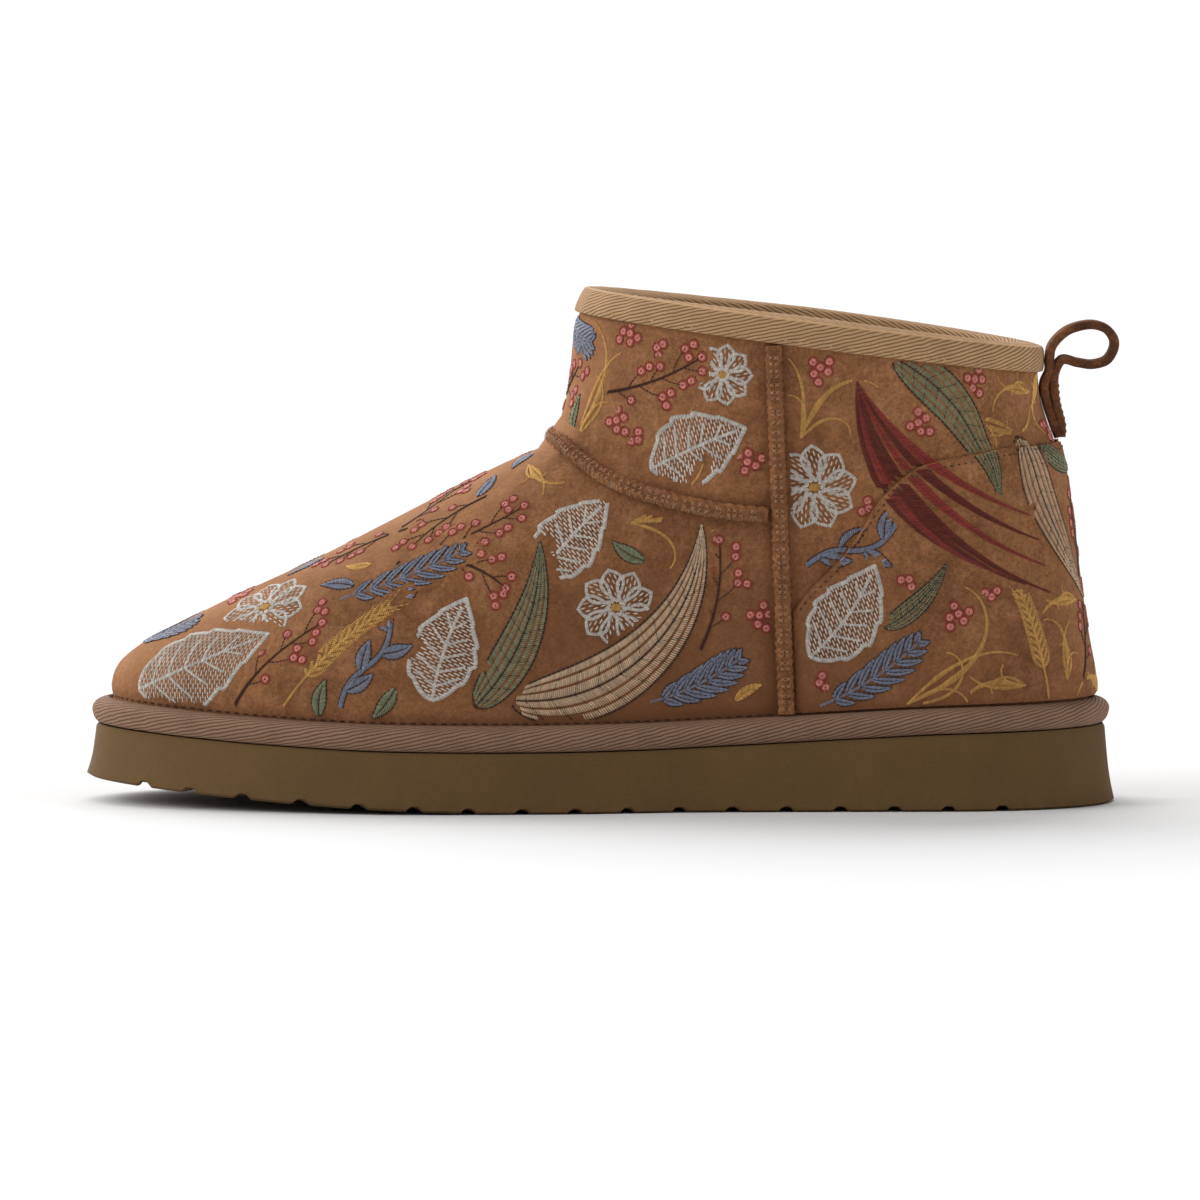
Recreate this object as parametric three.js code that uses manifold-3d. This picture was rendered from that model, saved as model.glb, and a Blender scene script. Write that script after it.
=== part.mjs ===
// A low pull-on boot of sheepskin with a fleece lining, for the left foot.
// Lengths are in millimetres. The toe points along -X, the outer side of the foot faces -Y,
// and the boot stands on z = 0 with its origin under the middle of its bounding box.
import * as THREE from "three";
import { mergeVertices } from "three/addons/utils/BufferGeometryUtils.js";
import Module from "manifold-3d";

const wasm = await Module();
wasm.setup();

// Driving dimensions
const soleLength = 295;
const toeLedge = 7.6; // outsole ahead of the upper
const heelLedge = 7.6; // outsole behind the upper
const ballWidth = 93; // upper across the ball, at the sole
const waistWidth = 68; // upper across the arch, at the sole
const heelWidth = 69; // upper across the heel, at the sole
const ankleWidth = 87; // upper across the ankle
const collarWidth = 95; // upper across the collar
const collarFront = 146.4; // height of the collar's rim at the instep
const collarBack = 129.8; // height of the collar's rim at the heel
const heelStack = 23; // outsole thickness under the heel
const toeSpring = 7.8; // rise of the outsole's toe
const soleFlare = 2.8; // how far the outsole's foot stands out past its top edge
const soleEdgeRound = 0.8; // how far the outsole's foot is rounded up from the floor
const grooveCount = 17;
const grooveWidth = 4.7;
const grooveDepth = 1.6;
const grooveWave = 1.6; // swing of a groove to and fro across the sole
const firstGroove = 0.035; // places of the first and last grooves, as shares of the upper's length
const lastGroove = 0.903;
const upperWall = 2.4;
const fleecePile = 5.5; // lining thickness inside the boot
const fleeceAtRim = 3; // lining thickness where the collar tape presses it
const insoleThickness = 5;
const tapeThickness = 1.2;
const tapeBelly = 1.15; // the collar tape's thickness at mid height, as a share of its own
const collarTapeHeight = 6.4;
const rimTapeHeight = 7.3; // tape between the upper and the outsole
const rimTapeReach = 5.6; // how far that tape stands out from the upper
const counterThickness = 1.3;
const seamWidth = 4.6;
const seamHeight = 2;
const strapWidth = 11;
const strapThickness = 2.6;
const loopReach = 19.9; // outer length of the finger loop, behind the collar
const loopHeight = 14; // outer height of the finger loop
const pinchDrop = 3.6; // the loop's pinch below the collar's rim
const tabLength = 21.3; // stitched part of the strap, down the back from the pinch
const fit = 0.3; // clearance between pieces that touch
const overlayFit = 0.5; // clearance under the overlay and the raised seams

// Grid of the faceted skins
const columnsPerSide = 24;
const rises = [0, 0.04, 0.08, 0.12, 0.155, 0.2, 0.26, 0.33, 0.41, 0.49, 0.56, 0.61, 0.64, 0.66, 0.68, 0.72, 0.76, 0.81, 0.88, 0.95, 1];
const deepRises = [0, 0.08, 0.18, 0.33, 0.49, 0.61, 0.68, 0.76, 0.88, 0.95, 1]; // rows of its inner face and of the lining

// Outsole heights along its length: top is a share of the heel stack.
const soleStations = [
  { along: 0, top: 0.985 },
  { along: 0.09, top: 0.895 },
  { along: 0.18, top: 0.82 },
  { along: 0.3, top: 0.758 },
  { along: 0.42, top: 0.742 },
  { along: 0.53, top: 0.758 },
  { along: 0.62, top: 0.802 },
  { along: 0.72, top: 0.868 },
  { along: 0.84, top: 0.94 },
  { along: 1, top: 0.985 },
];
const springStart = 0.42; // share of the outsole's length, from the toe, that lifts off the floor

// Front edge of the upper in side view, from the sole over the toe and the instep to the collar.
// along is a share of the upper's length from the toe, height a share of the collar's front height.
const frontEdge = [
  { along: 0.002, height: 0.156 },
  { along: 0, height: 0.215 },
  { along: 0.002, height: 0.243 },
  { along: 0.008, height: 0.268 },
  { along: 0.02, height: 0.291 },
  { along: 0.037, height: 0.314 },
  { along: 0.066, height: 0.342 },
  { along: 0.126, height: 0.4 },
  { along: 0.217, height: 0.483 },
  { along: 0.308, height: 0.573 },
  { along: 0.397, height: 0.66 },
  { along: 0.433, height: 0.692 },
  { along: 0.452, height: 0.718 },
  { along: 0.456, height: 0.76 },
  { along: 0.462, height: 0.83 },
  { along: 0.4715, height: 0.94 },
  { along: 0.484, height: 1 },
];
// Back edge of the upper, from the sole to the collar, in the same shares.
const backEdge = [
  { along: 0.989, height: 0.157 },
  { along: 0.992, height: 0.225 },
  { along: 0.984, height: 0.324 },
  { along: 0.975, height: 0.442 },
  { along: 0.969, height: 0.54 },
  { along: 0.958, height: 0.676 },
  { along: 0.9525, height: 0.717 },
  { along: 0.9465, height: 0.747 },
  { along: 0.9395, height: 0.799 },
  { along: 0.9375, height: 0.84 },
  { along: 0.938, height: 0.881 },
];

const upperLength = (soleLength - toeLedge - heelLedge) / (backEdge[0].along - frontEdge[0].along);
const toeX = -soleLength / 2 + toeLedge - frontEdge[0].along * upperLength;

// Level outline of the upper at the sole and at the ankle. outer, inner and centre are shares of width,
// where centre is how far the middle line swings to the inner side, and ankle is a share of ankleWidth.
const footPlan = [
  { along: 0, width: ballWidth, outer: 0.43, inner: 0.42, centre: 0.06, ankle: 0.46 },
  { along: 0.14, width: ballWidth, outer: 0.465, inner: 0.455, centre: 0.035, ankle: 0.497 },
  { along: 0.32, width: ballWidth, outer: 0.5, inner: 0.5, centre: 0, ankle: 0.529 },
  { along: 0.45, width: ballWidth, outer: 0.475, inner: 0.43, centre: 0, ankle: 0.497 },
  { along: 0.6, width: waistWidth, outer: 0.545, inner: 0.455, centre: 0, ankle: 0.457 },
  { along: 0.82, width: heelWidth, outer: 0.505, inner: 0.495, centre: 0, ankle: 0.44 },
  { along: 1, width: heelWidth, outer: 0.49, inner: 0.49, centre: 0, ankle: 0.436 },
];
const ankleRise = 0.4;
// Lengths over which an outline rounds to its front and back ends, as shares of the upper's length.
const roundings = [
  { rise: 0, noseOuter: 0.29, noseInner: 0.215, tail: 0.15 },
  { rise: 0.12, noseOuter: 0.27, noseInner: 0.215, tail: 0.15 },
  { rise: 0.3, noseOuter: 0.26, noseInner: 0.235, tail: 0.158 },
  { rise: 0.55, noseOuter: 0.25, noseInner: 0.245, tail: 0.178 },
  { rise: 0.75, noseOuter: 0.228, noseInner: 0.226, tail: 0.2 },
  { rise: 1, noseOuter: 0.23, noseInner: 0.23, tail: 0.225 },
];
const fullness = 2.15; // exponent of the rounded ends; 2 is an ellipse

// Seams: around runs from 0 at the toe to 1 at the heel on either side, rise from the sole to the collar.
const sideSeamTop = 0.667; // place of the side seams along the upper, at the collar
const sideSeamFoot = 0.683; // and at the sole
const instepSeam = [
  { around: 0, rise: 0.668 },
  { around: 0.092, rise: 0.66 },
  { around: 0.22, rise: 0.624 },
  { around: 0.296, rise: 0.594 },
  { around: 0.348, rise: 0.575 },
  { around: 0.408, rise: 0.556 },
  { around: 0.46, rise: 0.543 },
  { around: 0.52, rise: 0.537 },
];
const counterTop = [
  { around: 0.596, rise: 0.312 },
  { around: 0.612, rise: 0.368 },
  { around: 0.636, rise: 0.432 },
  { around: 0.656, rise: 0.5 },
  { around: 0.68, rise: 0.588 },
  { around: 0.732, rise: 0.684 },
  { around: 0.78, rise: 0.712 },
  { around: 0.844, rise: 0.74 },
  { around: 1, rise: 0.758 },
];

// A smooth curve through one column of a table, read at a value of its key column.
// The slopes are limited so that it never swings past its rows, and it runs straight on beyond them.
function curveOf(rows, key, column) {
  const x = rows.map((row) => row[key]);
  const y = rows.map((row) => row[column]);
  const step = x.slice(1).map((value, i) => (y[i + 1] - y[i]) / (value - x[i]));
  const slope = y.map((_, i) => {
    if (i === 0) return step[0];
    if (i === y.length - 1) return step[i - 1];
    const rising = step[i - 1] * step[i];
    return rising <= 0 ? 0 : (2 * rising) / (step[i - 1] + step[i]);
  });
  return (at) => {
    if (at <= x[0]) return y[0] + slope[0] * (at - x[0]);
    const end = x.length - 1;
    if (at >= x[end]) return y[end] + slope[end] * (at - x[end]);
    const i = x.findIndex((value) => value > at) - 1;
    const width = x[i + 1] - x[i];
    const t = (at - x[i]) / width;
    const ease = t * t * (3 - 2 * t);
    const bend = t * (1 - t) * width * (slope[i] * (1 - t) - slope[i + 1] * t);
    return y[i] * (1 - ease) + y[i + 1] * ease + bend;
  };
}

// Heights of the outsole and of the collar's rim
const soleTopShare = curveOf(soleStations, "along", "top");
const soleAlong = (x) => x / soleLength + 0.5;
const soleTop = (x) => heelStack * soleTopShare(soleAlong(x));
function soleBottom(x) {
  const lift = Math.max(0, springStart - soleAlong(x)) / springStart;
  return toeSpring * lift ** 1.6;
}
const upperX = (along) => toeX + along * upperLength;
const rimFrontX = upperX(frontEdge.at(-1).along);
const rimBackX = upperX(backEdge.at(-1).along);
const rimSlope = (collarBack - collarFront) / (rimBackX - rimFrontX);
const rimZ = (x) => collarFront + (x - rimFrontX) * rimSlope;
const footZ = (x) => soleTop(x) + fit;
const riseOf = (x, z) => (z - footZ(x)) / (rimZ(x) - footZ(x));

// The front and back ends of the upper's outline at each rise
function edgeCurve(rows) {
  const placed = rows.map(({ along, height }) => {
    const x = upperX(along);
    return { x, rise: riseOf(x, height * collarFront) };
  });
  return curveOf(placed, "rise", "x");
}
const frontX = edgeCurve(frontEdge);
const backX = edgeCurve(backEdge);

const plan = { ankle: curveOf(footPlan, "along", "ankle") };
for (const side of ["outer", "inner", "centre"]) {
  plan[side] = curveOf(footPlan.map((row) => ({ along: row.along, across: row.width * row[side] })), "along", "across");
}
const noseOuter = curveOf(roundings, "rise", "noseOuter");
const noseInner = curveOf(roundings, "rise", "noseInner");
const tail = curveOf(roundings, "rise", "tail");

function roundedEnd(distance, length) {
  const t = THREE.MathUtils.clamp(distance / length, 0, 1);
  return (1 - (1 - t) ** fullness) ** (1 / fullness);
}

// Half the width of the upper from its middle line, on the outer (-1) or inner (+1) side:
// a parabola through the widths at the sole, the ankle and the collar, rounded to its ends
function halfWidth(x, rise, side) {
  const along = (x - toeX) / upperLength;
  const foot = side < 0 ? plan.outer(along) : plan.inner(along);
  const ankle = ankleWidth * plan.ankle(along);
  const collar = collarWidth / 2;
  const wide =
    (foot * (rise - ankleRise) * (rise - 1)) / ankleRise +
    (ankle * rise * (rise - 1)) / (ankleRise * (ankleRise - 1)) +
    (collar * rise * (rise - ankleRise)) / (1 - ankleRise);
  const nose = (side < 0 ? noseOuter(rise) : noseInner(rise)) * upperLength;
  return wide * roundedEnd(x - frontX(rise), nose) * roundedEnd(backX(rise) - x, tail(rise) * upperLength);
}

// A point of the upper's outer face. turn runs from 0 at the toe over the outer side to 1 at the heel
// and back over the inner side to 2.
function facePoint(turn, rise) {
  const around = ((turn % 2) + 2) % 2;
  const side = around <= 1 ? -1 : 1;
  const front = frontX(rise);
  const x = front + ((backX(rise) - front) * (1 - Math.cos(Math.PI * around))) / 2;
  const middle = plan.centre((x - toeX) / upperLength) * Math.max(0, 1 - rise / ankleRise);
  const z = footZ(x) + rise * (rimZ(x) - footZ(x));
  return new THREE.Vector3(x, middle + side * halfWidth(x, rise, side), z);
}

function faceNormal(turn, rise) {
  const step = 0.004;
  const around = facePoint(turn + step, rise).sub(facePoint(turn - step, rise));
  const up = facePoint(turn, rise + step).sub(facePoint(turn, rise - step));
  return around.cross(up).normalize();
}

// The upper's own function: its face moved out by a distance, or in where it is negative
function skin(turn, rise, out) {
  return facePoint(turn, rise).addScaledVector(faceNormal(turn, rise), out);
}

// The same face moved level, without a change of height
function levelSkin(turn, rise, out) {
  const normal = faceNormal(turn, rise).setZ(0).normalize();
  return facePoint(turn, rise).addScaledVector(normal, out);
}

// The turn at which the outline of a rise passes a place along the length, on the outer side
function turnAt(x, rise) {
  const share = (x - frontX(rise)) / (backX(rise) - frontX(rise));
  return Math.acos(THREE.MathUtils.clamp(1 - 2 * share, -1, 1)) / Math.PI;
}

// The turn of the outer side seam at a rise, or of a place some way behind it
const sideSeamTurn = (rise, behind) =>
  turnAt(upperX(THREE.MathUtils.lerp(sideSeamFoot, sideSeamTop, rise)) + behind, rise);

// The change of rise that gives a height on the wall near a turn
function riseFor(turn, rise, height) {
  const { x } = facePoint(turn, rise);
  return height / (rimZ(x) - footZ(x));
}

// The place on the face reached by a small step in space along the face
function stepOnFace(turn, rise, step) {
  const small = 0.004;
  const perTurn = facePoint(turn + small, rise).sub(facePoint(turn - small, rise)).divideScalar(2 * small);
  const perRise = facePoint(turn, rise + small).sub(facePoint(turn, rise - small)).divideScalar(2 * small);
  const a = perTurn.dot(perTurn);
  const b = perTurn.dot(perRise);
  const c = perRise.dot(perRise);
  const p = perTurn.dot(step);
  const q = perRise.dot(step);
  const spread = a * c - b * b;
  return { turn: turn + (c * p - b * q) / spread, rise: rise + (a * q - b * p) / spread };
}

// Solids from rings of points: sections[i][j], joined along i and round j.
function bodyOf(sections, closedAlong) {
  const count = sections.length;
  const size = sections[0].length;
  const points = sections.flat();
  const faces = [];
  const last = closedAlong ? count : count - 1;
  for (let i = 0; i < last; i++) {
    for (let j = 0; j < size; j++) {
      const a = i * size + j;
      const b = i * size + ((j + 1) % size);
      const c = ((i + 1) % count) * size + ((j + 1) % size);
      const d = ((i + 1) % count) * size + j;
      const straight = points[a].distanceTo(points[c]) < points[b].distanceTo(points[d]);
      faces.push(...(straight ? [[a, b, c], [a, c, d]] : [[a, b, d], [b, c, d]]));
    }
  }
  if (!closedAlong) {
    for (let j = 1; j < size - 1; j++) {
      const end = (count - 1) * size;
      faces.push([0, j + 1, j], [end, end + j, end + j + 1]);
    }
  }
  return geometryOf(points, faces);
}

// A solid between level outlines, with strips across the first and the last.
// The outlines hold one point for each turn, and opposite points share their place along the length.
function slabOf(outlines) {
  const size = outlines[0].length;
  const points = outlines.flat();
  const faces = [];
  for (let i = 0; i < outlines.length - 1; i++) {
    for (let j = 0; j < size; j++) {
      const a = i * size + j;
      const b = i * size + ((j + 1) % size);
      faces.push([a, b, b + size], [a, b + size, a + size]);
    }
  }
  const top = (outlines.length - 1) * size;
  for (let j = 0; j < size / 2; j++) {
    const far = (size - j) % size;
    const next = size - j - 1;
    if (far !== j) {
      faces.push([j, far, j + 1], [top + j, top + j + 1, top + far]);
    }
    if (j + 1 !== next) {
      faces.push([j + 1, far, next], [top + j + 1, top + next, top + far]);
    }
  }
  return geometryOf(points, faces);
}

function geometryOf(points, faces) {
  let volume = 0;
  for (const [a, b, c] of faces) {
    volume += points[a].dot(new THREE.Vector3().crossVectors(points[b], points[c]));
  }
  const outward = volume > 0 ? faces : faces.map(([a, b, c]) => [a, c, b]);
  const geometry = new THREE.BufferGeometry();
  geometry.setAttribute("position", new THREE.Float32BufferAttribute(points.flatMap((p) => p.toArray()), 3));
  geometry.setIndex(outward.flat());
  return geometry;
}

function solidOf(geometry) {
  const bare = geometry.clone();
  bare.deleteAttribute("normal");
  bare.deleteAttribute("uv");
  const merged = mergeVertices(bare, 1e-4);
  return new wasm.Manifold(
    new wasm.Mesh({
      numProp: 3,
      vertProperties: new Float32Array(merged.attributes.position.array),
      triVerts: new Uint32Array(merged.index.array),
    }),
  );
}

function geometryFrom(solid) {
  const mesh = solid.getMesh();
  const geometry = new THREE.BufferGeometry();
  geometry.setAttribute("position", new THREE.BufferAttribute(new Float32Array(mesh.vertProperties), 3));
  geometry.setIndex(new THREE.BufferAttribute(new Uint32Array(mesh.triVerts), 1));
  geometry.computeVertexNormals();
  return geometry;
}

const suede = new THREE.MeshStandardMaterial({ color: 0x8a5c38, roughness: 0.95 });
const suedeEdge = new THREE.MeshStandardMaterial({ color: 0x6f452b, roughness: 0.95 });
const collarTape = new THREE.MeshStandardMaterial({ color: 0xb08a5c, roughness: 0.9 });
const rimTape = new THREE.MeshStandardMaterial({ color: 0x8c6a52, roughness: 0.9 });
const foam = new THREE.MeshStandardMaterial({ color: 0x5c452a, roughness: 0.8 });
const fleece = new THREE.MeshStandardMaterial({ color: 0xd8c6a4, roughness: 1 });

const turns = [];
for (let i = 0; i < 2 * columnsPerSide; i++) {
  turns.push(i / columnsPerSide);
}

// Upper: one hollow wall, open at the collar and underneath
function upperWallSolid() {
  const section = (turn) => {
    const outside = rises.map((rise) => skin(turn, rise, 0));
    const inside = deepRises.map((rise) => skin(turn, rise, -upperWall));
    inside[0] = levelSkin(turn, 0, -upperWall);
    return [...outside, ...inside.reverse()];
  };
  return bodyOf(turns.map(section), true);
}

// Lining: a fleece sleeve inside the upper, thinner where the collar tape presses it
function liningSolid() {
  const lockSwell = 0.3; // half the height by which the locks of the pile stand up
  const outset = -(upperWall + fit);
  const section = (turn, column) => {
    const top = 1 - riseFor(turn, 1, fit);
    const pressed = 1 - riseFor(turn, 1, collarTapeHeight + 2 * fit);
    const outside = deepRises.map((rise) => skin(turn, Math.min(rise, top), outset));
    const inside = deepRises.slice(0, -2).map((rise, row) => {
      const lock = lockSwell * (1 + Math.cos(column * 1.3 + row * 1.9));
      return skin(turn, rise, outset - fleecePile + lock);
    });
    outside[0] = levelSkin(turn, 0, outset);
    inside[0] = levelSkin(turn, 0, outset - fleecePile);
    for (const share of [0, 0.5, 1]) {
      inside.push(skin(turn, THREE.MathUtils.lerp(pressed, top, share), outset - fleeceAtRim));
    }
    return [...outside, ...inside.reverse()];
  };
  return bodyOf(turns.map(section), true);
}

// Insole: a fleece-covered board on the outsole, inside the lining
function insoleSolid() {
  const inset = -(upperWall + fit + fleecePile + 5 * fit);
  const outline = (lift) =>
    turns.map((turn) => {
      const p = levelSkin(turn, 0, inset);
      p.z = footZ(p.x) + lift;
      return p;
    });
  return slabOf([outline(0), outline(insoleThickness)]);
}

// Tape round the collar's rim, over the upper and the lining
function collarTapeSolid() {
  const inward = upperWall + fit + fleeceAtRim + fit;
  const section = (turn) => {
    const down = riseFor(turn, 1, collarTapeHeight);
    const over = riseFor(turn, 1, fit);
    const crown = riseFor(turn, 1, fit + tapeThickness);
    return [
      skin(turn, 1 - down, fit),
      skin(turn, 1 - down, fit + tapeThickness),
      skin(turn, 1 - down / 2, fit + tapeThickness * tapeBelly),
      skin(turn, 1 + over, fit + tapeThickness * 0.6),
      skin(turn, 1 + crown, -inward / 2),
      skin(turn, 1 + over, -inward - tapeThickness * 0.6),
      skin(turn, 1 - down / 2, -inward - tapeThickness * tapeBelly),
      skin(turn, 1 - down, -inward - tapeThickness),
      skin(turn, 1 - down, -inward),
      skin(turn, 1 - down / 2, -inward),
      skin(turn, 1 + over, -inward),
      skin(turn, 1 + over, fit),
      skin(turn, 1 - down / 2, fit),
    ];
  };
  return bodyOf(turns.map(section), true);
}

// Rounded tape between the upper's foot and the outsole's ledge
function rimTapeSolid() {
  const profile = [
    { up: 0, out: 0.72 },
    { up: 0.28, out: 0.97 },
    { up: 0.6, out: 1 },
    { up: 0.88, out: 0.68 },
    { up: 1, out: 0.3 },
  ];
  const section = (turn) => {
    const top = riseFor(turn, 0, rimTapeHeight);
    const outer = profile.map(({ up, out }) => levelSkin(turn, top * up, fit + out * (rimTapeReach - fit)));
    return [levelSkin(turn, 0, fit), ...outer, levelSkin(turn, top, fit), levelSkin(turn, top / 2, fit)];
  };
  return bodyOf(turns.map(section), true);
}

// Outsole: a foam wedge that flares to its foot, with grooves across its tread
function outsoleSolid() {
  const wall = [
    { drop: 0, flare: 0 },
    { drop: 0.35, flare: 0.22 },
    { drop: 0.7, flare: 0.5 },
    { drop: 1, flare: 1 },
  ];
  const ledge = (turn) => {
    const back = (1 - Math.cos(Math.PI * turn)) / 2;
    return THREE.MathUtils.lerp(toeLedge, heelLedge, back) - soleFlare;
  };
  const outlines = wall.map(({ drop, flare }) =>
    turns.map((turn) => {
      const p = facePoint(turn, 0);
      const along = facePoint(turn + 0.004, 0).sub(facePoint(turn - 0.004, 0)).setZ(0).normalize();
      const out = ledge(turn) + flare * soleFlare;
      const x = p.x + along.y * out;
      const z = THREE.MathUtils.lerp(soleTop(p.x), soleBottom(p.x) + soleEdgeRound, drop);
      return new THREE.Vector3(x, p.y - along.x * out, z);
    }),
  );
  const foot = turns.map((turn, j) => {
    const edge = outlines.at(-1)[j];
    const along = facePoint(turn + 0.004, 0).sub(facePoint(turn - 0.004, 0)).setZ(0).normalize();
    const inward = 1.6 * soleEdgeRound;
    return new THREE.Vector3(edge.x - along.y * inward, edge.y + along.x * inward, edge.z - soleEdgeRound);
  });
  outlines.push(foot);
  for (const outline of outlines) {
    for (let j = 1; j < columnsPerSide; j++) {
      const other = outline[2 * columnsPerSide - j];
      const x = (outline[j].x + other.x) / 2;
      outline[j].x = x;
      other.x = x;
    }
  }
  let sole = solidOf(slabOf(outlines.reverse()));
  for (let i = 0; i < grooveCount; i++) {
    const along = THREE.MathUtils.lerp(firstGroove, lastGroove, i / (grooveCount - 1));
    sole = sole.subtract(grooveSolid(upperX(along)));
  }
  return geometryFrom(sole);
}

// One groove across the tread, with a round roof, running to and fro across the sole
function grooveSolid(middleX) {
  const reach = 0.62 * ballWidth;
  const steps = 6;
  const sections = [];
  for (let i = 0; i <= steps; i++) {
    const y = reach * ((2 * i) / steps - 1);
    const x = middleX + grooveWave * Math.cos(Math.PI * i);
    const floor = soleBottom(middleX);
    const corner = (across, up) => new THREE.Vector3(x + across * grooveWidth, y, floor + up * grooveDepth);
    sections.push([corner(-0.62, -1.2), corner(-0.5, 0), corner(-0.28, 0.85), corner(0.28, 0.85), corner(0.5, 0), corner(0.62, -1.2)]);
  }
  return solidOf(bodyOf(sections, false));
}

// Heel counter: an overlay of suede, from side seam to side seam round the heel
function counterSolid() {
  const columns = 28;
  const rows = [0, 0.07, 0.16, 0.28, 0.42, 0.56, 0.7, 0.85, 1]; // shares of its height
  const topRise = curveOf(counterTop, "around", "rise");
  const firstTurn = counterTop[0].around;
  const place = (i, j, out) => {
    const share = (2 * i) / columns - 1; // -1 at the outer side seam, 0 at the heel, 1 at the inner
    const nominal = 1 - Math.abs(share) * (1 - firstTurn);
    const low = riseFor(nominal, 0, rimTapeHeight + 3 * fit);
    const rise = THREE.MathUtils.lerp(low, topRise(nominal), rows[j]);
    const start = sideSeamTurn(rise, seamWidth / 2 + 2 * fit);
    const away = Math.abs(share) * (1 - start);
    return skin(share < 0 ? 1 - away : 1 + away, rise, out);
  };
  const sections = [];
  for (let i = 0; i <= columns; i++) {
    const outside = [];
    const inside = [];
    for (let j = 0; j < rows.length; j++) {
      outside.push(place(i, j, overlayFit + counterThickness));
      inside.push(place(i, j, overlayFit));
    }
    sections.push([...outside, ...inside.reverse()]);
  }
  return bodyOf(sections, false);
}

// A raised seam: a low round ridge along a path of places on the upper
function ridgeSolid(path) {
  const middles = path.map(({ turn, rise }) => facePoint(turn, rise));
  const sections = path.map(({ turn, rise }, i) => {
    const before = middles[Math.max(0, i - 1)];
    const after = middles[Math.min(path.length - 1, i + 1)];
    const across = after.clone().sub(before).normalize().cross(faceNormal(turn, rise));
    const corner = (side, out) => {
      const moved = stepOnFace(turn, rise, across.clone().multiplyScalar((side * seamWidth) / 2));
      return skin(moved.turn, moved.rise, overlayFit + out * seamHeight);
    };
    return [corner(-1, 0), corner(-0.72, 0.72), corner(0, 1), corner(0.72, 0.72), corner(1, 0), corner(0, 0)];
  });
  return bodyOf(sections, false);
}

function sideSeamSolid(side) {
  const steps = 16;
  const low = riseFor(sideSeamTurn(0, 0), 0, rimTapeHeight + 2 * fit);
  const high = 1 - riseFor(sideSeamTurn(1, 0), 1, collarTapeHeight + 3 * fit);
  const path = [];
  for (let i = 0; i <= steps; i++) {
    const rise = THREE.MathUtils.lerp(low, high, i / steps);
    const turn = sideSeamTurn(rise, 0);
    path.push({ turn: side < 0 ? turn : 2 - turn, rise });
  }
  return ridgeSolid(path);
}

function instepSeamSolid() {
  const steps = 30;
  const riseAround = curveOf(instepSeam, "around", "rise");
  const endRise = instepSeam.at(-1).rise;
  const end = sideSeamTurn(endRise, -seamWidth / 2 - 4 * fit);
  const path = [];
  for (let i = 0; i <= steps; i++) {
    const turn = end * ((2 * i) / steps - 1);
    path.push({ turn, rise: riseAround(Math.abs(turn)) });
  }
  return ridgeSolid(path);
}

// Pull loop: one strap, doubled and stitched down the back, with a finger loop above.
// Its plies are given by how far out from the wall they stand, down the tab.
function pullLoopSolid() {
  const half = strapThickness / 2;
  const wall = (drop) => {
    const p = skin(1, 1 - riseFor(1, 1, drop), 0);
    return new THREE.Vector2(p.x, p.z);
  };
  const clear = fit + tapeBelly * tapeThickness + fit + half;
  const near = overlayFit + half;
  const plies = [
    { down: 0, inner: clear, outer: clear + 0.3 * strapThickness },
    { down: 0.14, inner: clear, outer: clear + 0.65 * strapThickness },
    { down: 0.32, inner: near + 0.2 * fit, outer: near + 1.08 * strapThickness },
    { down: 0.56, inner: near, outer: near + 0.97 * strapThickness },
    { down: 0.82, inner: near + 0.5 * fit, outer: near + 0.85 * strapThickness },
    { down: 1, inner: near + 0.5 * fit, outer: near + 0.3 * strapThickness },
  ];
  const ply = (side) =>
    plies.map((row) => wall(pinchDrop + row.down * tabLength).add(new THREE.Vector2(row[side], 0)));
  const pinch = wall(pinchDrop).add(new THREE.Vector2(clear, 0));
  const bow = [
    { out: 0, up: 0 },
    { out: 0.03, up: 0.34 },
    { out: 0.155, up: 0.61 },
    { out: 0.34, up: 0.81 },
    { out: 0.62, up: 0.91 },
    { out: 0.84, up: 0.83 },
    { out: 0.96, up: 0.64 },
    { out: 1, up: 0.43 },
    { out: 0.955, up: 0.18 },
    { out: 0.85, up: -0.01 },
    { out: 0.64, up: -0.09 },
    { out: 0.42, up: -0.04 },
    { out: 0.2, up: 0.03 },
    { out: 0.02, up: 0 },
  ];
  const ring = bow.map(({ out, up }) => {
    const step = new THREE.Vector2(out * (loopReach - half), up * (loopHeight - strapThickness));
    return pinch.clone().add(step);
  });
  const pieces = [strapSolid(ply("inner")), strapSolid(ply("outer")), strapSolid(ring)];
  return geometryFrom(pieces.reduce((whole, piece) => whole.add(piece)));
}

// A strap seen edge on: a band of even thickness along a curve through points (x, z), as wide as the strap
function strapSolid(through) {
  const curve = new THREE.SplineCurve(through);
  const steps = 3 * (through.length - 1);
  const left = [];
  const right = [];
  for (let i = 0; i <= steps; i++) {
    const p = curve.getPoint(i / steps);
    const along = curve.getTangent(i / steps);
    const aside = new THREE.Vector2(-along.y, along.x).multiplyScalar(strapThickness / 2);
    left.push(p.clone().add(aside));
    right.push(p.clone().sub(aside));
  }
  const outline = new THREE.Shape([...left, ...right.reverse()]);
  const band = new THREE.ExtrudeGeometry(outline, { depth: strapWidth, bevelEnabled: false });
  band.rotateX(Math.PI / 2).translate(0, strapWidth / 2, 0);
  return solidOf(band);
}

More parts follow.
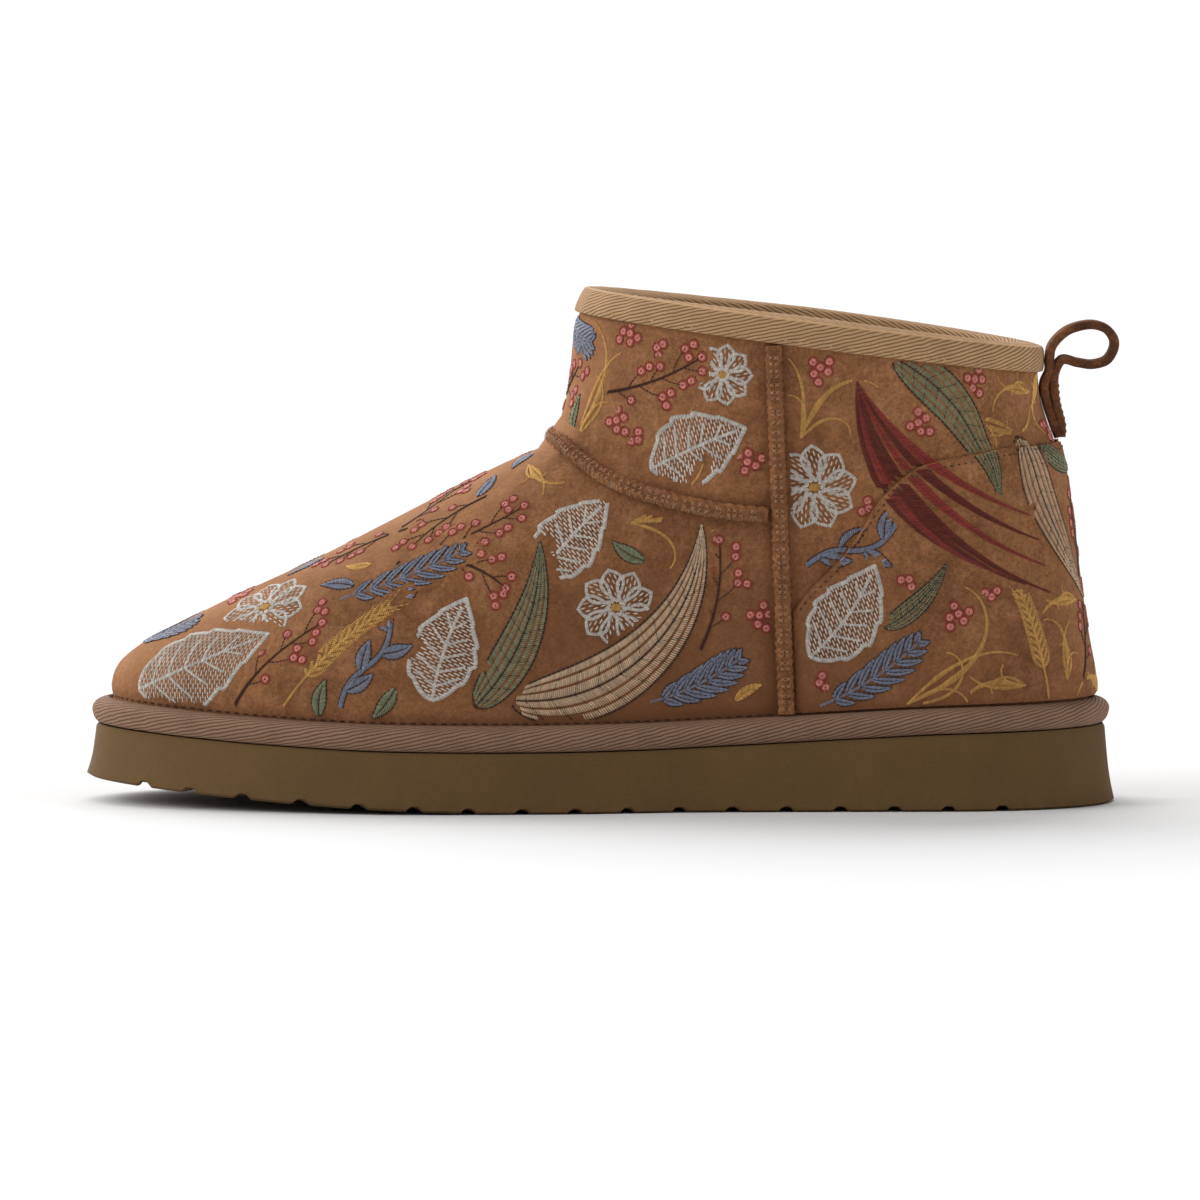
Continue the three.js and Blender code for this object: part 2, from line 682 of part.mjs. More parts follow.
const boot = new THREE.Group();
const pieces = [
  ["outsole", outsoleSolid(), foam],
  ["upper", upperWallSolid(), suede],
  ["fleece_lining", liningSolid(), fleece],
  ["insole", insoleSolid(), fleece],
  ["rim_tape", rimTapeSolid(), rimTape],
  ["collar_tape", collarTapeSolid(), collarTape],
  ["heel_counter", counterSolid(), suede],
  ["side_seam_outer", sideSeamSolid(-1), suedeEdge],
  ["side_seam_inner", sideSeamSolid(1), suedeEdge],
  ["instep_seam", instepSeamSolid(), suedeEdge],
  ["pull_loop", pullLoopSolid(), suedeEdge],
];
for (const [name, geometry, material] of pieces) {
  const mesh = new THREE.Mesh(geometry, material);
  mesh.name = name;
  boot.add(mesh);
}
const middle = new THREE.Box3().setFromObject(boot).getCenter(new THREE.Vector3());
for (const mesh of boot.children) {
  mesh.geometry.translate(-middle.x, -middle.y, 0);
}

export default boot;
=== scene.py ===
"""Dresses the frame of a low fur-lined boot with suede, woven tapes, fleece, foam and embroidery.

Lengths are in metres. The toe points along -X, the outer side of the foot faces -Y, and the
boot stands on z = 0. A place on the upper is a turn, from 0 at the toe over the outer side to
1 at the heel and back over the inner side to 2, and a rise, from 0 at the sole to 1 at the rim.
"""
import math

import bpy
import numpy as np
from mathutils import Matrix, Vector
from mathutils.kdtree import KDTree


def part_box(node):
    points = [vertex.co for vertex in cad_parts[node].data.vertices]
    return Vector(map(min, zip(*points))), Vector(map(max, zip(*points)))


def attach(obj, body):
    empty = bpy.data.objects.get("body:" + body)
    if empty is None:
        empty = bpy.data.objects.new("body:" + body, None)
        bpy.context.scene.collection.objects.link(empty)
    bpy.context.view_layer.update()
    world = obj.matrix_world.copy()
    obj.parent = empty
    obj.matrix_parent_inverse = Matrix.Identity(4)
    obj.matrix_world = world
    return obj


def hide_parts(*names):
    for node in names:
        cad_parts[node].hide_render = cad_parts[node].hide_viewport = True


bl_info = {
    "name": "Fur-lined boot",
    "version": (1, 0, 0),
    "blender": (4, 5, 0),
    "location": "3D View > Sidebar > Boot",
    "description": "Dresses the boot's frame with suede, tapes, fleece, foam and embroidery",
    "category": "Object",
}

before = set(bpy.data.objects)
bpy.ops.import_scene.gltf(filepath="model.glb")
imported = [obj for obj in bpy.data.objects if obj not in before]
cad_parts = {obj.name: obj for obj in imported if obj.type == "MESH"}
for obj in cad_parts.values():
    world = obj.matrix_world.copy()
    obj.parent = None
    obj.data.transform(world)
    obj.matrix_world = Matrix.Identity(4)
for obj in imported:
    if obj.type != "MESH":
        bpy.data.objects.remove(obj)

MM = 0.001
SEED = 7

# Grid of the fine skins
TURN_COLUMNS = 370
RISE_ROWS = 94


def table(columns, *rows):
    """A table as one dictionary a row, by the names of its columns."""
    names = columns.split()
    return [dict(zip(names, row)) for row in rows]


# Top of the outsole along its length, as a share of the heel stack
SOLE_TOP = table(
    "along top",
    (0, 0.985), (0.09, 0.895), (0.18, 0.82), (0.3, 0.758), (0.42, 0.742),
    (0.53, 0.758), (0.62, 0.802), (0.72, 0.868), (0.84, 0.94), (1, 0.985),
)
SPRING_START = 0.42
SPRING_POWER = 1.6

# Front and back edges of the upper in side view: shares of its length and of the collar's height
FRONT_EDGE = table(
    "along height",
    (0.002, 0.156), (0, 0.215), (0.002, 0.243), (0.008, 0.268), (0.02, 0.291), (0.037, 0.314),
    (0.066, 0.342), (0.126, 0.4), (0.217, 0.483), (0.308, 0.573), (0.397, 0.66), (0.433, 0.692),
    (0.452, 0.718), (0.456, 0.76), (0.462, 0.83), (0.4715, 0.94), (0.484, 1),
)
BACK_EDGE = table(
    "along height",
    (0.989, 0.157), (0.992, 0.225), (0.984, 0.324), (0.975, 0.442), (0.969, 0.54), (0.958, 0.676),
    (0.9525, 0.717), (0.9465, 0.747), (0.9395, 0.799), (0.9375, 0.84), (0.938, 0.881),
)
# Rows of the frame's upper, from which its place along the length is found
FRAME_RISES = (0, 0.04, 0.08, 0.12)

# Level outlines at the sole (outer and inner, shares of width) and at the ankle (share of its width)
FOOT_PLAN = table(
    "along width outer inner centre ankle",
    (0, "ball_width", 0.43, 0.42, 0.06, 0.46),
    (0.14, "ball_width", 0.465, 0.455, 0.035, 0.497),
    (0.32, "ball_width", 0.5, 0.5, 0, 0.529),
    (0.45, "ball_width", 0.475, 0.43, 0, 0.497),
    (0.6, "waist_width", 0.545, 0.455, 0, 0.457),
    (0.82, "heel_width", 0.505, 0.495, 0, 0.44),
    (1, "heel_width", 0.49, 0.49, 0, 0.436),
)
ANKLE_RISE = 0.4
ROUNDINGS = table(
    "rise nose_outer nose_inner tail",
    (0, 0.29, 0.215, 0.15), (0.12, 0.27, 0.215, 0.15), (0.3, 0.26, 0.235, 0.158),
    (0.55, 0.25, 0.245, 0.178), (0.75, 0.228, 0.226, 0.2), (1, 0.23, 0.23, 0.225),
)
FULLNESS = 2.15

# Grooves across the tread: the first and the last as shares of the upper's length, and how many
FIRST_GROOVE = 0.035
LAST_GROOVE = 0.903
GROOVES = 17

# Seams: around runs from 0 at the toe to 1 at the heel on either side
SIDE_SEAM_TOP = 0.667
SIDE_SEAM_FOOT = 0.683
INSTEP_SEAM = table(
    "around rise",
    (0, 0.668), (0.092, 0.66), (0.22, 0.624), (0.296, 0.594),
    (0.348, 0.575), (0.408, 0.556), (0.46, 0.543), (0.52, 0.537),
)
COUNTER_TOP = table(
    "around rise",
    (0.596, 0.312), (0.612, 0.368), (0.636, 0.432), (0.656, 0.5), (0.68, 0.588),
    (0.732, 0.684), (0.78, 0.712), (0.844, 0.74), (1, 0.758),
)

# Soft creases and swells of the suede in side view, in millimetres: a line, its depth (below
# zero it stands up) and its reach to either side
CREASES = table(
    "x0 z0 x1 z1 depth reach",
    (-14, 112, -3, 128, 0.9, 5), (4, 98, 22, 112, 0.5, 6), (-24, 84, 8, 74, 0.7, 6),
    (-30, 74, 2, 62, 0.5, 6), (66, 78, 92, 99, 0.6, 6), (100, 104, 125, 112, 0.9, 5),
    (108, 94, 128, 99, -0.8, 6), (70, 62, 98, 82, -0.4, 7), (-100, 40, -70, 48, -0.3, 9),
    (18, 40, 46, 46, 0.5, 8), (64, 128, 96, 118, -0.5, 8),
)

THREADS = ("white", "beige", "sage", "blue", "gold", "pink", "red", "bark", "wine", "ink")
THREAD_NUMBER = {name: index for index, name in enumerate(THREADS)}


# User's sizes and colours

def length(label, about, value):
    return bpy.props.FloatProperty(
        name=label, description=about, default=value, min=0, precision=4, unit="LENGTH"
    )


def colour(label, about, red, green, blue):
    """A colour property whose default is given as it looks on a screen, from 0 to 255."""
    linear = [((v / 255 + 0.055) / 1.055) ** 2.4 for v in (red, green, blue)]
    return bpy.props.FloatVectorProperty(
        name=label, description=about, default=linear, size=3, min=0, max=1, subtype="COLOR"
    )


class BootSizes(bpy.types.PropertyGroup):
    """Sizes of the boot, as its frame was made"""

    sole_length: length("Sole length", "Outsole from toe to heel", 0.295)
    toe_ledge: length("Toe ledge", "Outsole ahead of the upper", 0.0076)
    heel_ledge: length("Heel ledge", "Outsole behind the upper", 0.0076)
    ball_width: length("Ball width", "Upper across the ball", 0.093)
    waist_width: length("Waist width", "Upper across the arch", 0.068)
    heel_width: length("Heel width", "Upper across the heel", 0.069)
    ankle_width: length("Ankle width", "Upper across the ankle", 0.087)
    collar_width: length("Collar width", "Upper across the collar", 0.095)
    collar_front: length("Collar front", "Height of the rim at the instep", 0.1464)
    collar_back: length("Collar back", "Height of the rim at the heel", 0.1298)
    heel_stack: length("Heel stack", "Outsole under the heel", 0.023)
    toe_spring: length("Toe spring", "Rise of the outsole's toe", 0.0078)
    sole_flare: length("Sole flare", "Reach of the outsole's foot past its top edge", 0.0028)
    sole_round: length("Sole edge", "Rounding at the outsole's foot", 0.0008)
    groove_width: length("Groove width", "Grooves across the tread", 0.0047)
    groove_depth: length("Groove depth", "Depth of the grooves", 0.0016)
    groove_wave: length("Groove wave", "Swing of a groove across the sole", 0.0016)
    upper_wall: length("Upper wall", "Thickness of the upper", 0.0024)
    fleece_pile: length("Fleece pile", "Thickness of the lining", 0.0055)
    fleece_at_rim: length("Fleece at the rim", "Lining where the tape presses it", 0.003)
    insole_thickness: length("Insole", "Thickness of the insole", 0.005)
    tape_thickness: length("Tape", "Thickness of the collar tape", 0.0012)
    collar_tape_height: length("Collar tape", "Height of the collar tape", 0.0064)
    rim_tape_height: length("Rim tape", "Height of the tape at the sole", 0.0073)
    rim_tape_reach: length("Rim tape reach", "How far it stands out", 0.0056)
    counter_thickness: length("Counter", "Thickness of the heel counter", 0.0013)
    seam_width: length("Seam width", "Width of a raised seam", 0.0046)
    seam_height: length("Seam height", "Height of a raised seam", 0.002)
    strap_width: length("Strap width", "Width of the pull loop's strap", 0.011)
    strap_thickness: length("Strap", "Thickness of the strap", 0.0026)
    loop_reach: length("Loop reach", "Finger loop behind the collar", 0.0199)
    loop_height: length("Loop height", "Outer height of the finger loop", 0.014)
    pinch_drop: length("Pinch drop", "The loop's pinch below the rim", 0.0036)
    tab_length: length("Tab length", "Stitched part of the strap", 0.0213)
    fit: length("Fit", "Clearance between pieces", 0.0003)
    overlay_fit: length("Overlay fit", "Clearance under an overlay", 0.0005)


class BootColours(bpy.types.PropertyGroup):
    """Colours of the boot's suede, tapes, foam, fleece and threads"""

    suede: colour("Suede", "Upper", 142, 96, 63)
    # Also the colour of the painted highlight along the toe and the heel of the upper
    suede_light: colour("Brushed suede", "Where the nap lies flat", 171, 124, 86)
    # Also the colour of the painted shade on the upper's flank, by its seams and by the sole
    suede_dark: colour("Dark suede", "Where the nap stands up", 112, 73, 47)
    seam: colour("Seam", "Raised seams", 152, 102, 66)
    seam_thread: colour("Seam thread", "Thread over the raised seams", 196, 154, 118)
    whip_thread: colour("Whip thread", "Thread along the instep seam", 150, 142, 112)
    strap: colour("Strap", "Pull loop", 120, 78, 54)
    collar_tape: colour("Collar tape", "Tape round the collar", 190, 152, 112)
    rim_tape: colour("Rim tape", "Tape at the sole", 152, 118, 95)
    foam: colour("Foam", "Outsole", 101, 76, 44)
    fleece: colour("Fleece", "Lining and insole", 214, 206, 190)
    stitch: colour("Stitch", "Sewing thread", 70, 44, 30)
    white: colour("White thread", "Embroidery", 228, 222, 214)
    beige: colour("Beige thread", "Embroidery", 226, 196, 164)
    sage: colour("Sage thread", "Embroidery", 146, 152, 118)
    blue: colour("Blue thread", "Embroidery", 146, 151, 170)
    gold: colour("Gold thread", "Embroidery", 222, 172, 96)
    pink: colour("Pink thread", "Embroidery", 222, 138, 128)
    red: colour("Red thread", "Embroidery", 160, 62, 52)
    bark: colour("Bark thread", "Embroidery", 78, 46, 36)
    wine: colour("Wine thread", "Embroidery", 118, 46, 32)
    ink: colour("Ink thread", "Embroidery", 44, 34, 36)


def tint(name):
    return (*getattr(bpy.context.scene.boot_colours, name), 1)


def darker(name, share):
    return (*[v * share for v in tint(name)[:3]], 1)


# Shape of the last

def curve_of(rows, key, column):
    """A smooth curve through one column of a table, straight beyond its rows."""
    x = np.array([row[key] for row in rows], float)
    y = np.array([row[column] for row in rows], float)
    step = np.diff(y) / np.diff(x)
    slope = np.concatenate([step[:1], np.zeros(len(x) - 2), step[-1:]])
    for i in range(1, len(x) - 1):
        if step[i - 1] * step[i] > 0:
            slope[i] = 2 * step[i - 1] * step[i] / (step[i - 1] + step[i])

    def read(at):
        at = np.asarray(at, float)
        i = np.clip(np.searchsorted(x, at, side="right") - 1, 0, len(x) - 2)
        width = x[i + 1] - x[i]
        t = np.clip((at - x[i]) / width, 0, 1)
        ease = t * t * (3 - 2 * t)
        bend = t * (1 - t) * width * (slope[i] * (1 - t) - slope[i + 1] * t)
        inside = y[i] * (1 - ease) + y[i + 1] * ease + bend
        before = np.minimum(at - x[0], 0) * slope[0]
        return inside + before + np.maximum(at - x[-1], 0) * slope[-1]

    return read


def unit(vectors):
    return vectors / np.maximum(np.linalg.norm(vectors, axis=-1, keepdims=True), 1e-12)


def dot(a, b):
    return (a * b).sum(-1)


def mound(distance, reach, middle=0.0):
    """A soft bump of height 1 round a middle."""
    return np.exp(-(((distance - middle) / reach) ** 2))


def run_lengths(path):
    """Distance from a path's start to each of its points."""
    return np.concatenate([[0], np.cumsum(np.linalg.norm(np.diff(path, axis=0), axis=1))])


class Last:
    """The outer face of the upper, and what lies on it."""

    def __init__(self):
        s = self.s = bpy.context.scene.boot_sizes
        first = FRONT_EDGE[0]["along"]
        self.length = (s.sole_length - s.toe_ledge - s.heel_ledge) / (BACK_EDGE[0]["along"] - first)
        self.toe_x = -s.sole_length / 2 + s.toe_ledge - first * self.length
        self.top_share = curve_of(SOLE_TOP, "along", "top")
        self.rim_front = self.toe_x + FRONT_EDGE[-1]["along"] * self.length
        rim_back = self.toe_x + BACK_EDGE[-1]["along"] * self.length
        self.rim_slope = (s.collar_back - s.collar_front) / (rim_back - self.rim_front)
        self.front_x = self.edge(FRONT_EDGE)
        self.back_x = self.edge(BACK_EDGE)
        wide = [dict(row, width=getattr(s, row["width"])) for row in FOOT_PLAN]
        for row in wide:
            for column in ("outer", "inner", "centre"):
                row[column] *= row["width"]
            row["ankle"] *= s.ankle_width
        self.outer = curve_of(wide, "along", "outer")
        self.inner = curve_of(wide, "along", "inner")
        self.centre = curve_of(wide, "along", "centre")
        self.ankle = curve_of(wide, "along", "ankle")
        self.nose_outer = curve_of(ROUNDINGS, "rise", "nose_outer")
        self.nose_inner = curve_of(ROUNDINGS, "rise", "nose_inner")
        self.tail = curve_of(ROUNDINGS, "rise", "tail")
        self.instep = curve_of(INSTEP_SEAM, "around", "rise")
        self.counter_top = curve_of(COUNTER_TOP, "around", "rise")
        self.shift = np.zeros(3)
        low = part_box("upper")[0]
        self.shift[0] = low.x - self.face(np.zeros(4), np.array(FRAME_RISES))[:, 0].min()

    def edge(self, rows):
        placed = []
        for row in rows:
            x = self.toe_x + row["along"] * self.length
            placed.append({"x": x, "rise": self.rise_of(x, row["height"] * self.s.collar_front)})
        return curve_of(placed, "rise", "x")

    def sole_top(self, x):
        return self.s.heel_stack * self.top_share(x / self.s.sole_length + 0.5)

    def sole_bottom(self, x):
        lift = np.maximum(0, SPRING_START - (x / self.s.sole_length + 0.5)) / SPRING_START
        return self.s.toe_spring * lift**SPRING_POWER

    def rim_z(self, x):
        return self.s.collar_front + (x - self.rim_front) * self.rim_slope

    def foot_z(self, x):
        return self.sole_top(x) + self.s.fit

    def rise_of(self, x, z):
        return (z - self.foot_z(x)) / (self.rim_z(x) - self.foot_z(x))

    def half_width(self, x, rise, side):
        along = (x - self.toe_x) / self.length
        foot = np.where(side < 0, self.outer(along), self.inner(along))
        wide = (
            foot * (rise - ANKLE_RISE) * (rise - 1) / ANKLE_RISE
            + self.ankle(along) * rise * (rise - 1) / (ANKLE_RISE * (ANKLE_RISE - 1))
            + self.s.collar_width / 2 * rise * (rise - ANKLE_RISE) / (1 - ANKLE_RISE)
        )
        nose = np.where(side < 0, self.nose_outer(rise), self.nose_inner(rise)) * self.length
        for distance, reach in (
            (x - self.front_x(rise), nose),
            (self.back_x(rise) - x, self.tail(rise) * self.length),
        ):
            t = np.clip(distance / reach, 0, 1)
            wide = wide * (1 - (1 - t) ** FULLNESS) ** (1 / FULLNESS)
        return wide

    def face(self, turn, rise):
        """Points of the upper's plain outer face."""
        turn, rise = np.broadcast_arrays(np.asarray(turn, float), np.asarray(rise, float))
        around = np.mod(turn, 2)
        side = np.where(around <= 1, -1.0, 1.0)
        front = self.front_x(rise)
        x = front + (self.back_x(rise) - front) * (1 - np.cos(np.pi * around)) / 2
        along = (x - self.toe_x) / self.length
        middle = self.centre(along) * np.maximum(0, 1 - rise / ANKLE_RISE)
        z = self.foot_z(x) + rise * (self.rim_z(x) - self.foot_z(x))
        y = middle + side * self.half_width(x, rise, side)
        return np.stack([x, y, z], -1) + self.shift

    def slopes(self, turn, rise):
        """How the face moves for each unit of turn and of rise."""
        step = 0.004
        around = self.face(turn + step, rise) - self.face(turn - step, rise)
        up = self.face(turn, rise + step) - self.face(turn, rise - step)
        return around / (2 * step), up / (2 * step)

    def normal(self, turn, rise):
        return unit(np.cross(*self.slopes(turn, rise)))

    def skin(self, turn, rise, out=0.0):
        """The face moved out by a distance."""
        return self.face(turn, rise) + self.normal(turn, rise) * np.asarray(out)[..., None]

    def level(self, turn, rise, out=0.0):
        """The face moved out without a change of height."""
        normal = self.normal(turn, rise)
        normal[..., 2] = 0
        return self.face(turn, rise) + unit(normal) * np.asarray(out)[..., None]

    def turn_at(self, x, rise):
        """Turn at which a rise's outline passes a place along the length, on the outer side."""
        x = x - self.shift[0]
        share = (x - self.front_x(rise)) / (self.back_x(rise) - self.front_x(rise))
        return np.arccos(np.clip(1 - 2 * share, -1, 1)) / np.pi

    def place(self, x, z):
        """Turn and rise of a place of the outer side in side view."""
        rise = self.rise_of(np.asarray(x, float) - self.shift[0], z)
        return self.turn_at(x, rise), rise

    def seam_turn(self, rise, behind=0.0):
        share = SIDE_SEAM_FOOT + (SIDE_SEAM_TOP - SIDE_SEAM_FOOT) * np.asarray(rise, float)
        return self.turn_at(self.toe_x + share * self.length + behind + self.shift[0], rise)

    def rise_for(self, turn, rise, height):
        x = self.face(turn, rise)[..., 0] - self.shift[0]
        return height / (self.rim_z(x) - self.foot_z(x))

    def walk(self, turn, rise, heading, offsets):
        """Places reached from one place by walking straight along the face."""
        steps = int(4 + np.linalg.norm(offsets, axis=1).max() / (3 * MM))
        across, up = self.slopes(np.array([turn]), np.array([rise]))
        ahead = unit(across)
        aside = np.cross(unit(np.cross(across, up)), ahead)
        angle = heading + np.arctan2(offsets[:, 1], offsets[:, 0])
        path = np.cos(angle)[:, None] * ahead + np.sin(angle)[:, None] * aside
        stride = np.linalg.norm(offsets, axis=1)[:, None] / steps
        turn = np.full(len(offsets), float(turn))
        rise = np.full(len(offsets), float(rise))
        for _ in range(steps):
            around, up = self.slopes(turn, rise)
            move = path * stride
            a, b, c = dot(around, around), dot(around, up), dot(up, up)
            p, q = dot(around, move), dot(up, move)
            spread = a * c - b * b
            turn = turn + (c * p - b * q) / spread
            rise = rise + (a * q - b * p) / spread
            normal = self.normal(turn, rise)
            path = unit(path - normal * dot(path, normal)[:, None])
        return turn, rise

    def around(self, turn):
        turn = np.mod(turn, 2)
        return np.minimum(turn, 2 - turn)

    def seam_gaps(self, turn, rise):
        """Distances to the side seam's line (positive behind it) and to the instep seam's."""
        around = self.around(turn)
        place = self.face(turn, rise)
        seam = self.face(self.seam_turn(np.clip(rise, 0, 1)), rise)
        side = place[..., 0] - seam[..., 0]
        wall = 1 / self.rise_for(turn, rise, 1.0)
        instep = (rise - self.instep(around)) * wall * 0.85
        return side, instep

    def counter_start(self, rise):
        """Turn of the counter's front edge, just behind the side seam."""
        return self.seam_turn(rise, self.s.seam_width / 2 + 2 * self.s.fit)

    def counter_around(self, share):
        """Where the counter's top is read, by the share of the way from the heel to its front."""
        return 1 - np.abs(share) * (1 - COUNTER_TOP[0]["around"])

    def counter_turn(self, share, rise):
        """Turn on the counter for a share from -1 at its outer front to 1 at its inner front."""
        away = np.abs(share) * (1 - self.counter_start(rise))
        return np.where(share < 0, 1 - away, 1 + away)

    def on_counter(self, turn, rise):
        around = self.around(turn)
        start = self.counter_start(np.clip(rise, 0, 1))
        share = (1 - around) / np.maximum(1 - start, 1e-6)
        return (around > start) & (rise < self.counter_top(self.counter_around(share)))

    def relief(self, turn, rise):
        """Creases, swells and the troughs that the seams pull into the suede."""
        place = self.face(turn, rise)
        x, z = place[..., 0] / MM, place[..., 2] / MM
        out = np.zeros(np.shape(x))
        for row in CREASES:
            a = np.array([row["x0"], row["z0"]], float)
            b = np.array([row["x1"], row["z1"]], float)
            run = b - a
            share = np.clip(((x - a[0]) * run[0] + (z - a[1]) * run[1]) / (run @ run), 0, 1)
            gap = np.hypot(x - a[0] - share * run[0], z - a[1] - share * run[1])
            out = out - row["depth"] * mound(gap, row["reach"])
        side, instep = self.seam_gaps(turn, rise)
        side, instep = np.abs(side) / MM, instep / MM
        ahead = self.around(turn) < self.seam_turn(np.clip(rise, 0, 1))
        out = out - 0.55 * mound(side, 3.2) + 0.35 * mound(side, 3.5, 7.5)
        swell = 0.5 * mound(instep, 3.4, 6.5) - 0.5 * mound(instep, 3)
        out = out + np.where(ahead, swell, 0)
        foot = rise / self.rise_for(turn, rise, MM) - self.s.rim_tape_height / MM
        out = out - 0.6 * mound(foot, 1.5, 0.4)
        rim = (1 - rise) / self.rise_for(turn, rise, MM) - self.s.collar_tape_height / MM
        out = out - 0.25 * mound(rim, 2)
        wave = np.sin(x / 9.7 + 1.3) * np.sin(z / 8.3 + 0.4) + 0.6 * np.sin(x / 5.1 - z / 6.4)
        held = mound(place[..., 1], 9 * MM) * (x > 0) * np.clip((z - 96) / 8, 0, 1)
        return (out + 0.12 * wave) * (1 - held) * MM

    def cover(self, turn, rise):
        """How far the visible suede stands out from the plain face."""
        raised = self.s.overlay_fit + self.s.counter_thickness
        soft = self.relief(turn, rise)
        return np.where(self.on_counter(turn, rise), raised + 0.5 * soft, soft)


# Meshes

def start_clean():
    if bpy.context.object and bpy.context.object.mode != "OBJECT":
        bpy.ops.object.mode_set(mode="OBJECT")
    bpy.ops.object.select_all(action="DESELECT")


def smooth(piece, angle=50):
    start_clean()
    piece.select_set(True)
    bpy.context.view_layer.objects.active = piece
    bpy.ops.object.shade_smooth_by_angle(angle=math.radians(angle))


def grid_piece(name, points, around=False):
    """A skin through rows of points, each row a closed loop, and where it goes around, closed
    from its last row to its first. Its UV map holds real lengths."""
    if around:
        points = np.concatenate([points, points[:1]], 0)
    points = np.concatenate([points, points[:, :1]], 1)
    rows, columns = points.shape[:2]
    start_clean()
    bpy.ops.mesh.primitive_grid_add(x_subdivisions=columns - 1, y_subdivisions=rows - 1, size=1)
    piece = bpy.context.object
    piece.name = name
    mesh = piece.data
    mesh.vertices.foreach_set("co", points.reshape(-1))
    middle = columns // 4
    rung = np.linalg.norm(np.diff(points, axis=1), axis=2).mean(0)
    u = run_lengths(points[:, middle])
    v = np.concatenate([[0], np.cumsum(rung)])
    uv = np.stack(np.meshgrid(u, v, indexing="ij"), -1).reshape(-1, 2)
    corner = np.zeros(len(mesh.loops), int)
    mesh.loops.foreach_get("vertex_index", corner)
    mesh.uv_layers[0].data.foreach_set("uv", uv[corner].reshape(-1))
    mesh.update()
    bpy.ops.object.mode_set(mode="EDIT")
    bpy.ops.mesh.select_all(action="SELECT")
    bpy.ops.mesh.remove_doubles(threshold=2e-6)
    bpy.ops.mesh.normals_make_consistent(inside=False)
    bpy.ops.object.mode_set(mode="OBJECT")
    return piece


def capped(rings):
    """Rings with both ends closed, each by a ring drawn together to one point."""
    middles = rings.mean(1, keepdims=True) + 0 * rings
    return np.concatenate([middles[:1], rings, middles[-1:]], 0)


def joined_piece(name, points, faces, uv=None):
    """One mesh of many small things, from arrays of their points and faces."""
    mesh = bpy.data.meshes.new(name)
    mesh.from_pydata(points.reshape(-1, 3).tolist(), [], faces)
    if uv is not None:
        layer = mesh.uv_layers.new(name="UVMap")
        corner = np.zeros(len(mesh.loops), int)
        mesh.loops.foreach_get("vertex_index", corner)
        layer.data.foreach_set("uv", uv.reshape(-1, 2)[corner].reshape(-1))
    mesh.polygons.foreach_set("use_smooth", np.ones(len(mesh.polygons), bool))
    piece = bpy.data.objects.new(name, mesh)
    bpy.context.collection.objects.link(piece)
    return piece


def finish(piece, material, replaces=(), angle=50):
    """Gives a piece its finish and its place in the frame."""
    piece.data.materials.clear()
    piece.data.materials.append(material)
    if angle:
        smooth(piece, angle)
    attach(piece, "root")
    if replaces:
        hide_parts(*replaces)
    return piece


def smooth_path(points, count):
    """A curve of count points through a few points."""
    points = np.asarray(points, float)
    padded = np.concatenate([2 * points[:1] - points[1:2], points, 2 * points[-1:] - points[-2:-1]])
    at = np.linspace(0, len(points) - 1, count)
    i = np.minimum(at.astype(int), len(points) - 2)
    t = (at - i)[:, None]
    p0, p1, p2, p3 = (padded[i + k] for k in range(4))
    return 0.5 * (
        2 * p1 + (p2 - p0) * t + (2 * p0 - 5 * p1 + 4 * p2 - p3) * t**2
        + (3 * p1 - p0 - 3 * p2 + p3) * t**3
    )


STITCH_FACES = (
    (0, 1, 2), (0, 2, 3), (0, 3, 1), (1, 4, 5, 2), (2, 5, 6, 3), (3, 6, 4, 1),
    (7, 5, 4), (7, 6, 5), (7, 4, 6),
)


def stitch_mesh(name, ends, normals, widths, height, seed=SEED):
    """Stitches between pairs of points, each a low strand that dips in at its ends."""
    a, b = ends[:, 0], ends[:, 1]
    count = len(a)
    rng = np.random.default_rng(seed)
    run = b - a
    size = np.linalg.norm(run, axis=1, keepdims=True)
    ahead = run / np.maximum(size, 1e-9)
    across = unit(np.cross(normals, ahead))
    tip = np.minimum(0.22, 0.00035 / np.maximum(size, 1e-9))
    half = widths[:, None] / 2
    lift = (height * rng.uniform(0.85, 1.15, count))[:, None]
    points = np.zeros((count, 8, 3))
    points[:, 0] = a - normals * 0.00012
    points[:, 7] = b - normals * 0.00012
    for first, share in ((1, tip), (4, 1 - tip)):
        middle = a + run * share
        points[:, first] = middle - across * half - normals * 0.00006
        points[:, first + 1] = middle + normals * lift
        points[:, first + 2] = middle + across * half - normals * 0.00006
    uv = np.zeros((count, 8, 2))
    reach = np.concatenate([0 * size, tip * size, (1 - tip) * size, size], 1)
    uv[:, :, 0] = reach[:, [0, 1, 1, 1, 2, 2, 2, 3]]
    uv[:, :, 1] = rng.uniform(0, 1, count)[:, None]
    faces = [[first + k for k in face] for first in range(0, 8 * count, 8) for face in STITCH_FACES]
    return joined_piece(name, points, faces, uv)


def hair_mesh(name, roots, tips, width, seed=SEED):
    """Fine hairs, each a slender spike with three sides."""
    run = tips - roots
    side = unit(np.cross(run, [0.31, 0.53, 0.79]))
    other = unit(np.cross(run, side))
    points = np.zeros((len(roots), 4, 3))
    for k in range(3):
        angle = 2 * math.pi * k / 3
        points[:, k] = roots + (side * math.cos(angle) + other * math.sin(angle)) * width / 2
    points[:, 3] = tips
    uv = np.zeros((len(roots), 4, 2))
    uv[:, 3, 0] = 0.001
    uv[:, :, 1] = np.random.default_rng(seed).uniform(0, 1, len(roots))[:, None]
    around = ((0, 1, 3), (1, 2, 3), (2, 0, 3), (2, 1, 0))
    faces = [[first + k for k in face] for first in range(0, 4 * len(roots), 4) for face in around]
    return joined_piece(name, points, faces, uv)


# Shaders

